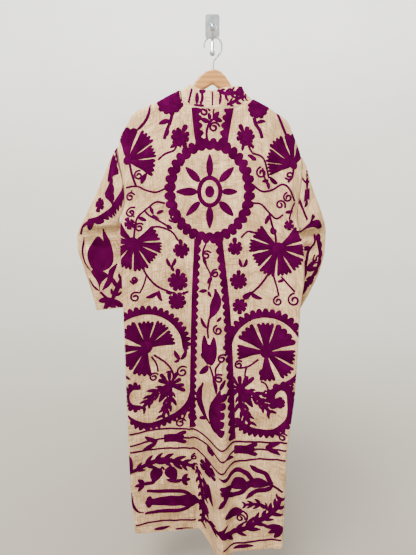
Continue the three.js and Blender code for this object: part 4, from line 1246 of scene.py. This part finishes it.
hem_work.line([(-156, -1246), (-149, -1234), (-142, -1246)], 2.4)
hem_work.add(lying_tulip(162, 18, 34), -36, -1358, 175)
hem_work.band([(-238, -1300), (-236, -1340), (-222, -1366), (-204, -1376)], 4.5, 4.5, taper=0.5)
hem_work.line([(-232, -1412), (-150, -1416), (-48, -1424)])
hem_work.leaves((-54, -1452, 176, 62, 15, 5), (-180, -1440, 4, 52, 12, -4))
hem_work.band([(170, -1247), (146, -1247), (122, -1247), (90, -1247)], 16, 16, taper=0.45)
hem_work.add(disc(24, 20), 76, -1247)
for petals in (
    [(126, -1244), (112, -1232), (97, -1214), (74, -1205), (54, -1211), (40, -1219), (19, -1212)],
    [(120, -1252), (98, -1262), (84, -1276), (62, -1281), (46, -1273), (34, -1286), (19, -1310)],
    [(176, -1247), (165, -1236), (153, -1216), (128, -1207), (107, -1190)],
    [(176, -1249), (163, -1262), (146, -1269), (122, -1275), (97, -1296)],
):
    hem_work.band(petals, 7, 7, taper=0.2)
for turn in (168, 200, 232):
    hem_work.add(petal(0, 36, 8), 56, -1250, turn)
hem_work.line([(164, -1248), (184, -1256), (204, -1266)], 3)
bough = [(-22, -1400), (29, -1390), (60, -1402), (107, -1388), (153, -1357), (184, -1321), (197, -1280)]
hem_work.boughs(bough, 16, 10)
hem_work.boughs([(166, -1332), (147, -1318), (116, -1315), (90, -1316)], 10, 4)
hem_work.add(disc(27, 15), 63, -1337)
hem_work.line([(88, -1334), (102, -1348), (100, -1368), (86, -1378)], 2.2)
hem_work.add(spiral(13, 2), 94, -1366, 330)
for turn in (196, 222, 246):
    hem_work.add(leaf(52, 17, 3), 202, -1372, turn)
hem_work.line([(30, -1442), (120, -1437), (204, -1420)])
hem_work.add(leaf(66, 13, 4), 60, -1458, 6)
hem_work.add(blossom(26, 6, 1.2, 90), -12, -1220)
hem_work.boughs([(-46, -1236), (-36, -1275), (-28, -1320), (-24, -1380), (-30, -1430)], 11, 8)
hem_work.leaves((-26, -1262, -84, 70, 17, 6), (-8, -1268, -78, 60, 16, -6))
hem_work.add(blossom(17, 6, 1.1, 90), -24, -1372)

# The sleeves' room side
arms = {side: Needlework(panels["sleeve_" + side]) for side in ("left", "right")}
left, right = arms["left"], arms["right"]
armhole = [(-259, -306), (-244, -378), (-237, -412), (-247, -440), (-270, -474), (-304, -494), (-338, -506)]
left.band(armhole, 12, 9, 13, 0)
left.add(wedge(4, 72, 16, 72, 5), -281, -406)
left.add(wedge(4, 62, -22, 48, 5), -290, -436)
left.add(blossom(21, 5, 1.3, 240, 0.7), -301, -458)
left.line([(-326, -502), (-350, -516), (-362, -540)], 4.5)
left.add(leaf(112, 48, 0, 0.8), -322, -648, 90)
left.band([(-352, -546), (-359, -575), (-356, -615), (-340, -642)], 4, 4, taper=0.3)
left.band([(-297, -522), (-289, -562), (-283, -600), (-291, -628), (-312, -644)], 7, 7, taper=0.3)
left.add(leaf(58, 42, 0, 3.2), -317, -700, 90)
left.band([(-264, -620), (-280, -642), (-289, -672), (-309, -697)], 5.5, 5.5, taper=0.3)
left.band([(-347, -660), (-335, -684), (-317, -700)], 3.5, 3.5, taper=0.3)
left.line([(-317, -700), (-296, -720), (-282, -726)], 3)
left.boughs([(-282, -724), (-266, -690), (-249, -656)], 10, 3)
for turn in (196, 232, 268, 310):
    left.add(leaf(42, 15), -280, -720, turn)
right.band([(232, -446), (243, -467), (256, -500)], 5, 5)
right.add(spiral(15), 256, -380, 60)
right.line([(238, -354), (238, -380), (250, -400), (262, -396)], 2)
right.add(blossom(30, 4, 1.25, 80), 253, -432)
right.band([(228, -530), (252, -520), (278, -508), (298, -518)], 15, 13, taper=0.15)
right.add(wedge(4, 46, 20, 62, 4), 260, -512)
right.line([(280, -536), (282, -562), (268, -586), (261, -624), (256, -670)], 3)
right.add(leaf(30, 15, 2), 274, -576, 165)
right.add(spiral(15), 288, -596, 120)
right.leaves((262, -640, 40, 40, 16), (264, -640, -5, 34, 14))
right.band([(256, -612), (258, -640), (254, -676)], 7, 7, taper=0.4)
edge = [(286, -540), (296, -570), (300, -595), (296, -626), (283, -655), (264, -684), (246, -712)]
right.band(edge, 6, 6, 0, 7)
right.add(blossom(17, 5, 1.1, 100), 274, -672)
right.leaves((250, -694, 250, 34, 15), (236, -704, 215, 36, 13))
right.add(blossom(16, 5, 1.1, 60), 228, -748)

# The sides that the photo hides: the sleeves towards the wall, in the same kinds of motif
for side, sign in SIGNS.items():
    work = Needlework(panels["sleeve_" + side], 1, sign)
    shift = 0 if side == "left" else -34
    work.add(wheel(46, even_slices(9, 10), 4), 284 + shift * 0.6, -420)
    work.line([(270 + shift, -470), (292 + shift, -520), (300 + shift, -570)], 2.2)
    work.add(blossom(24, 8, 1.2, 90), 322 + shift, -556)
    work.add(spiral(14), 276 + shift, -560)
    work.add(tulip(78, 26), 286 + shift, -672)
    work.add(spiral(13), 330 + shift, -640, flip=sign > 0)
    work.add(leaf(46, 15, 3), 240 + shift, -640, 70)
    work.add(blossom(22, 7, 1.2, 60), 262 + shift, -716)
    arms[side].grids += work.grids

# The fronts, drawn in the same kinds of motif as the back
fronts = {}
for side, sign in SIGNS.items():
    work = fronts[side] = Needlework(panels["front_" + side], 1, sign)
    flip = sign > 0
    work.add(blossom(28, 10, 1.1, 60), 124, -236)
    work.line([(122, -262), (132, -296), (150, -330)], 2.6)
    work.add(leaf(32, 12, 2), 128, -290, 200, flip=flip)
    work.add(wheel(60, even_slices(9, 14), 5), 160, -392)
    work.line([(150, -452), (120, -480), (112, -520)], 2.0)
    work.add(spiral(14), 104, -470, flip=flip)
    work.add(spiral(13), 196, -476)
    work.add(blossom(24, 8, 1.25, 95), 112, -548)
    work.add(leaf(34, 12, 3), 190, -530, 60, flip=flip)
    work.add(wheel(62, even_slices(9, 30), 5), 176, -620)
    work.line([(170, -682), (140, -720), (108, -740)], 2.0)
    work.add(blossom(26, 7, 1.2, 250), 98, -756)
    work.add(spiral(15), 206, -716, flip=flip)
    work.add(leaf(38, 12, 4), 150, -736, 200, flip=flip)
    work.add(wheel(70, even_slices(9, 8), 6), 164, -856)
    work.add(ring(88, 86, 6, 7, 0, 22, 130, -190, 0.12), 164, -852)
    work.add(palmette(54), 122, -976, 16)
    work.add(curl(26, 6, 8, 0.8, 180), 206, -990, flip=flip)
    scroll = [(78, -1010), (92, -1050), (140, -1082), (200, -1076), (232, -1040)]
    work.band(scroll, 8, 6, 16, 0, taper=0.2)
    for z in (-1114, -1176, -1420):
        work.line([(62, z), (140, z + 4), (232, z + 2)])
    work.add(lying_tulip(70, 13, 12), 150, -1146, 180, flip=flip)
    work.add(leaf(40, 10, 3), 196, -1150, 20)
    work.boughs([(66, -1222), (130, -1232), (226, -1226)], 14, 13)
    work.add(lying_tulip(126, 16, 42), 84, -1330, 0, flip=not flip)
    work.leaves((206, -1296, 120, 52, 13, 5), (110, -1400, 12, 56, 14, 5))
    work.line([(66, -560), (68, -800), (66, -1100)], 2.2)

# The bands down the fronts and round the neck
bands = {}
for side, sign in SIGNS.items():
    work = bands[side] = Needlework(panels["band_" + side], 1)
    for k in range(15):
        z = -250 - 80 * k
        middle = sign * 35 if z < -460 else sign * (35 + 12 * (z + 460) / 220)
        work.line([(middle - 4, z + 40), (middle + 6, z + 20), (middle, z), (middle - 4, z - 40)], 1.5)
        work.leaves((middle, z + 8, 60, 24, 9, 2), (middle, z - 10, 125, 24, 9, -2))
        if k % 3 == 1:
            work.add(blossom(13, 7, 1.15, 90), middle, z + 26)
collar = Needlework(panels["neck"])
collar.line([(-62, -204), (-52, -162)], 3.4)
collar.add(leaf(34, 15), -41, -206, 84)
collar.line([(-32, -206), (-26, -190), (-28, -170)], 3.4)
collar.add(leaf(26, 13), -36, -172, 20)
collar.line([(-50, -207), (-20, -208)], 2.4)
collar.line([(0, -210), (0, -169)], 1.8)
collar.boughs([(12, -168), (34, -178), (60, -176), (88, -186)], 10, 6)
collar.boughs([(36, -206), (62, -194), (78, -176), (74, -164)], 9, 4)
collar.add(blossom(17, 7, 1.1, 20), 74, -168)
collar.add(leaf(26, 10, 2), 20, -180, 262)

needlework = {
    "back": [
        upper.mesh("back_embroidery_upper"),
        lower.mesh("back_embroidery_middle"),
        hem_work.mesh("back_embroidery_hem"),
    ],
    "neck": [collar.mesh("neck_embroidery")],
}
for side in ("left", "right"):
    needlework["sleeve_" + side] = [arms[side].mesh("sleeve_embroidery_" + side)]
    needlework["front_" + side] = [fronts[side].mesh("front_embroidery_" + side)]
    needlework["band_" + side] = [bands[side].mesh("band_embroidery_" + side)]

# Running stitches above the hems, round the cuffs and along the bands
FRONT_RUNS = [(-96, -1217, 98, -1217)]
SLEEVE_RUNS = [(-190, -427, 190, -427)]
BAND_RUNS = [(-18.5, -30, -18.5, -1280), (18.5, -40, 18.5, -1280)]
RUNS = {
    "back": [(-266, -1257, 266, -1257)],
    "front_left": FRONT_RUNS,
    "front_right": FRONT_RUNS,
    "sleeve_left": SLEEVE_RUNS,
    "sleeve_right": SLEEVE_RUNS,
    "neck": [(-112, -42.5, 112, -42.5), (-112, -3, 112, -3)],
    "band_left": BAND_RUNS,
    "band_right": BAND_RUNS,
}
stitching = {}
for name, runs in RUNS.items():
    stitching[name] = stitches(panels[name], runs).mesh("stitches_" + name)


# Materials
class Paint:
    def __init__(self, name, roughness, metallic=0.0):
        self.material = bpy.data.materials.new(name)
        self.material.use_nodes = True
        self.tree = self.material.node_tree
        self.shader = self.tree.nodes["Principled BSDF"]
        self.shader.inputs["Roughness"].default_value = roughness
        self.shader.inputs["Metallic"].default_value = metallic

    def node(self, kind, **inputs):
        made = self.tree.nodes.new(kind)
        for name, value in inputs.items():
            self.set(made, name.replace("_", " "), value)
        return made

    def set(self, node, name, value):
        """Sets or links an input by its name, or by "n" and its number."""
        socket = node.inputs[int(name[1:]) if name[0] == "n" and name[1:].isdigit() else name]
        if isinstance(value, bpy.types.NodeSocket):
            self.tree.links.new(value, socket)
        else:
            socket.default_value = value

    def wear(self, **inputs):
        """Gives the shader its values and links, and hands the material back."""
        for name, value in inputs.items():
            self.set(self.shader, name.replace("_", " "), value)
        return self.material

    def place(self, x=1, y=1, z=1, source="UV"):
        coordinates = self.tree.nodes.new("ShaderNodeTexCoord")
        mapping = self.node("ShaderNodeMapping", Vector=coordinates.outputs[source])
        mapping.inputs["Scale"].default_value = (x, y, z)
        return mapping.outputs["Vector"]

    def noise(self, vector, scale, detail, roughness=0.5):
        inputs = {"Vector": vector, "Scale": scale, "Detail": detail, "Roughness": roughness}
        return self.node("ShaderNodeTexNoise", **inputs).outputs["Fac"]

    def wave(self, vector, period, direction="X", distortion=0.0, detail=0.0):
        scale = 2 * math.pi / (20 * period)
        inputs = {"Vector": vector, "Scale": scale, "Distortion": distortion, "Detail": detail}
        made = self.node("ShaderNodeTexWave", **inputs)
        made.wave_type = "BANDS"
        made.bands_direction = direction
        return made.outputs["Fac"]

    def maths(self, operation, a, b):
        made = self.node("ShaderNodeMath", n0=a, n1=b)
        made.operation = operation
        return made.outputs["Value"]

    def add(self, a, b):
        return self.maths("ADD", a, b)

    def times(self, a, b):
        return self.maths("MULTIPLY", a, b)

    def ramp(self, fac, *stops):
        """Each stop is its place and its colour."""
        made = self.node("ShaderNodeValToRGB", Fac=fac)
        elements = made.color_ramp.elements
        while len(elements) < len(stops):
            elements.new(0.5)
        for element, (place, *colour) in zip(elements, stops):
            element.position = place
            element.color = (*colour, 1)
        return made.outputs["Color"]

    def tinted(self, a, b):
        """One colour multiplied by the other."""
        made = self.node("ShaderNodeMix")
        made.data_type = "RGBA"
        made.blend_type = "MULTIPLY"
        for name, value in (("n0", 1.0), ("n6", a), ("n7", b)):
            self.set(made, name, value)
        return made.outputs[2]

    def bump(self, height, distance, strength, normal=None):
        made = self.node("ShaderNodeBump", Height=height, Distance=distance, Strength=strength)
        if normal:
            self.set(made, "Normal", normal)
        return made.outputs["Normal"]


# A slubby weave: threads of uneven thickness both ways, with streaks and crumples; the soft darker patches
# are painted shade, and the threads' light and dark tones are partly their own colour and partly painted
# shade
def cotton_paint():
    paint = Paint("cream_cotton", 0.92)
    uv = paint.place()
    weft = paint.noise(paint.place(45, 900), 1.0, 3)
    warp = paint.noise(paint.place(800, 38), 1.0, 3)
    slub = paint.maths("MAXIMUM", weft, warp)
    # light and dark tones of the threads: partly their own colour, partly painted shade of the crinkles
    tint = paint.ramp(slub, (0.45, 0.42, 0.26, 0.13), (0.58, 0.90, 0.60, 0.34), (0.72, 1, 0.76, 0.48))
    # painted shade: soft greyish darker patches that stand in for the shading of the cloth's crinkles
    painted_mottled_shade = paint.ramp(paint.noise(uv, 16, 3), (0.36, 0.70, 0.66, 0.60), (0.62, 1, 1, 1))
    thick = paint.noise(paint.place(14, 250), 1.0, 2)
    streak = paint.maths("MINIMUM", thick, paint.noise(paint.place(230, 12), 1.0, 2))
    streaks = paint.ramp(streak, (0.32, 0.66, 0.61, 0.54), (0.52, 1, 1, 1))
    weave = paint.add(paint.wave(uv, 0.0011), paint.wave(uv, 0.0011, "Y"))
    normal = paint.bump(paint.add(weave, paint.times(slub, 2.2)), 0.00016, 0.75)
    crumple = paint.noise(paint.place(0.55), 75, 4, 0.6)
    return paint.wear(
        Base_Color=paint.tinted(tint, paint.tinted(painted_mottled_shade, streaks)),
        Roughness=paint.add(paint.times(slub, 0.15), 0.82),
        Normal=paint.bump(crumple, 0.0042, 0.9, normal),
        Sheen_Weight=0.04,
        Sheen_Roughness=0.5,
        Specular_IOR_Level=0.1,
    )


# Rows of chain stitch along each shape's own lines, in random patches of lighter and darker purple that are
# painted sheen and shade
def thread_paint():
    paint = Paint("purple_chain_stitch", 0.6)
    uv = paint.place()
    strand = paint.noise(paint.place(260, 900), 1.0, 2)
    # painted sheen and shade: dark, middle and light purples spread in random patches
    dark, middle, light = (0.3, 0.045, 0, 0.024), (0.55, 0.066, 0, 0.036), (0.75, 0.094, 0, 0.053)
    tint = paint.ramp(paint.noise(uv, 22, 2), dark, middle, light)
    shade = paint.ramp(strand, (0.25, 0.66, 0.66, 0.66), (0.65, 1.08, 1.08, 1.08))
    rows, links = paint.wave(uv, 0.0015, "Y", 1.2), paint.wave(uv, 0.0030, "X", 1.5)
    normal = paint.bump(paint.add(rows, paint.times(links, 0.6)), 0.00045, 0.8)
    return paint.wear(
        Base_Color=paint.tinted(tint, shade),
        Roughness=paint.add(paint.times(strand, 0.2), 0.5),
        Normal=paint.bump(paint.noise(uv, 140, 2), 0.0008, 0.5, normal),
        Specular_IOR_Level=0.0,
    )


def sewing_paint():
    paint = Paint("cream_sewing_thread", 0.6)
    twist = paint.wave(paint.place(), 0.0008, "DIAGONAL", 0.4)
    tint = paint.ramp(twist, (0.1, 0.62, 0.53, 0.37), (0.8, 0.84, 0.77, 0.60))
    return paint.wear(Base_Color=tint, Normal=paint.bump(twist, 0.0002, 0.6))


def wood_paint():
    paint = Paint("varnished_wood", 0.4)
    grain = paint.noise(paint.place(7, 60, 60, "Object"), 3.0, 5, 0.6)
    rings = paint.wave(paint.place(2.2, 9, 9, "Object"), 0.11, "Z", 3.5, 2)
    mixed = paint.add(paint.times(grain, 0.65), paint.times(rings, 0.35))
    dark, middle, light = (0.28, 0.33, 0.135, 0.026), (0.52, 0.42, 0.182, 0.038), (0.75, 0.50, 0.23, 0.056)
    return paint.wear(
        Base_Color=paint.ramp(mixed, dark, middle, light),
        Roughness=paint.add(paint.times(grain, 0.25), 0.28),
        Normal=paint.bump(grain, 0.0003, 0.35),
        Coat_Weight=0.2,
        Coat_Roughness=0.2,
    )


def chrome_paint():
    paint = Paint("polished_chrome", 0.14, 1.0)
    smear = paint.noise(paint.place(source="Object"), 70, 4)
    return paint.wear(
        Base_Color=paint.ramp(smear, (0.3, 0.50, 0.53, 0.58), (0.7, 0.66, 0.69, 0.74)),
        Roughness=paint.add(paint.times(smear, 0.16), 0.08),
        Normal=paint.bump(smear, 0.0002, 0.12),
    )


def give(made, paint):
    made.data.materials.clear()
    made.data.materials.append(paint)


cotton, thread, sewing_thread = cotton_paint(), thread_paint(), sewing_paint()
wood, chrome = wood_paint(), chrome_paint()
for name, made in cloths.items():
    give(made, cotton)
    for piece in needlework[name]:
        give(rides(piece), thread)
    give(rides(stitching[name]), sewing_thread)
for node in ("hanger_wood", "hanger_hook", "hook_plate", "hook_prong_upper", "hook_prong_lower"):
    give(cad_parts[node], wood if node == "hanger_wood" else chrome)


# The studio: a round floor that sweeps up into a pale wall, so that every side has the same backdrop; its
# grey is painted light falloff, darker towards the middle of the floor and lighter up the wall
FLOOR, LEVEL_TO, ROUNDING, TOP = -1.64, 3.0, 1.3, 3.4
SIDES, STEPS = 96, 16
wall = LEVEL_TO + ROUNDING
profile = [(0.0, FLOOR), (1.6, FLOOR), (LEVEL_TO, FLOOR)]
for k in range(1, STEPS + 1):
    bend = math.radians(90 * k / STEPS)
    profile.append((LEVEL_TO + ROUNDING * math.sin(bend), FLOOR + ROUNDING * (1 - math.cos(bend))))
profile += [(wall, 0.8), (wall, 2.0), (wall, TOP)]
angles = [2 * math.pi * k / SIDES for k in range(SIDES)]
spots = [(r * math.cos(angle), r * math.sin(angle), z) for r, z in profile for angle in angles]
faces = []
for i in range(len(profile) - 1):
    low, high = i * SIDES, (i + 1) * SIDES
    for k in range(SIDES):
        n = (k + 1) % SIDES
        faces.append((low + k, low + n, high + n, high + k))
studio_mesh = bpy.data.meshes.new("studio")
studio_mesh.from_pydata(spots, [], faces)
studio_mesh.shade_smooth()
studio = bpy.data.objects.new("studio", studio_mesh)
bpy.context.scene.collection.objects.link(studio)
paint = Paint("studio_painted_falloff", 0.9)
spot = paint.place(source="Object")
mottle = paint.ramp(paint.noise(spot, 1.3, 2), (0.3, 0.97, 0.97, 0.97), (0.7, 1, 1, 1))
distance = paint.node("ShaderNodeVectorMath", n0=spot, n1=(0, 0, FLOOR))
distance.operation = "DISTANCE"
# painted light falloff: the grey darkens towards the middle of the floor and lightens up the wall
far = paint.maths("DIVIDE", distance.outputs["Value"], 6.0)
painted_falloff_greys = [(0.0, 0.24, 0.21, 0.175), (0.66, 0.60, 0.58, 0.515), (0.88, 0.98, 0.985, 0.97)]
give(studio, paint.wear(Base_Color=paint.tinted(paint.ramp(far, *painted_falloff_greys), mottle)))

# The lights: name, place, aim, size, power and colour
MIDDLE = (0, -0.05, -0.8)
LIGHTS = [
    ("key", (-0.75, -1.6, 1.75), (0, -0.05, -0.5), (1.5, 1.5), 255, (1, 0.975, 0.93)),
    ("fill", (2.4, -2.4, 0.2), MIDDLE, (2.5, 2.5), 16, (0.95, 0.975, 1)),
    ("back_fill", (0.6, 3.0, 1.6), MIDDLE, (2.5, 2.5), 110, (1, 1, 1)),
    ("wall_wash", (0, 0.9, 2.6), (0, 4.3, 1.3), (3.0, 1.6), 185, (1, 1, 1)),
]
for name, at, aim, size, power, colour in LIGHTS:
    data = bpy.data.lights.new(name, "AREA")
    data.shape, data.size, data.size_y = "RECTANGLE", size[0], size[1]
    data.energy, data.color = power, colour
    lamp = bpy.data.objects.new(name, data)
    bpy.context.scene.collection.objects.link(lamp)
    lamp.location = at
    lamp.rotation_euler = (Vector(aim) - Vector(at)).to_track_quat("-Z", "Y").to_euler()

SKY, SKY_STRENGTH = (0.86, 0.88, 0.90, 1), 0.54
world = bpy.data.worlds.new("studio_world")
bpy.context.scene.world = world
world.use_nodes = True
background = world.node_tree.nodes["Background"]
background.inputs["Color"].default_value = SKY
background.inputs["Strength"].default_value = SKY_STRENGTH

# The camera stands close, above the robe's middle, and looks a little down
EYE = (-0.0115, -1.19, -0.457)
PITCH = math.radians(80)
SENSOR, LENS = 36, 27.05
camera_data = bpy.data.cameras.new("camera")
camera_data.sensor_width = SENSOR
camera_data.lens = LENS
camera = bpy.data.objects.new("camera", camera_data)
camera.location = EYE
camera.rotation_euler = (PITCH, 0, 0)
bpy.context.scene.collection.objects.link(camera)
bpy.context.scene.camera = camera
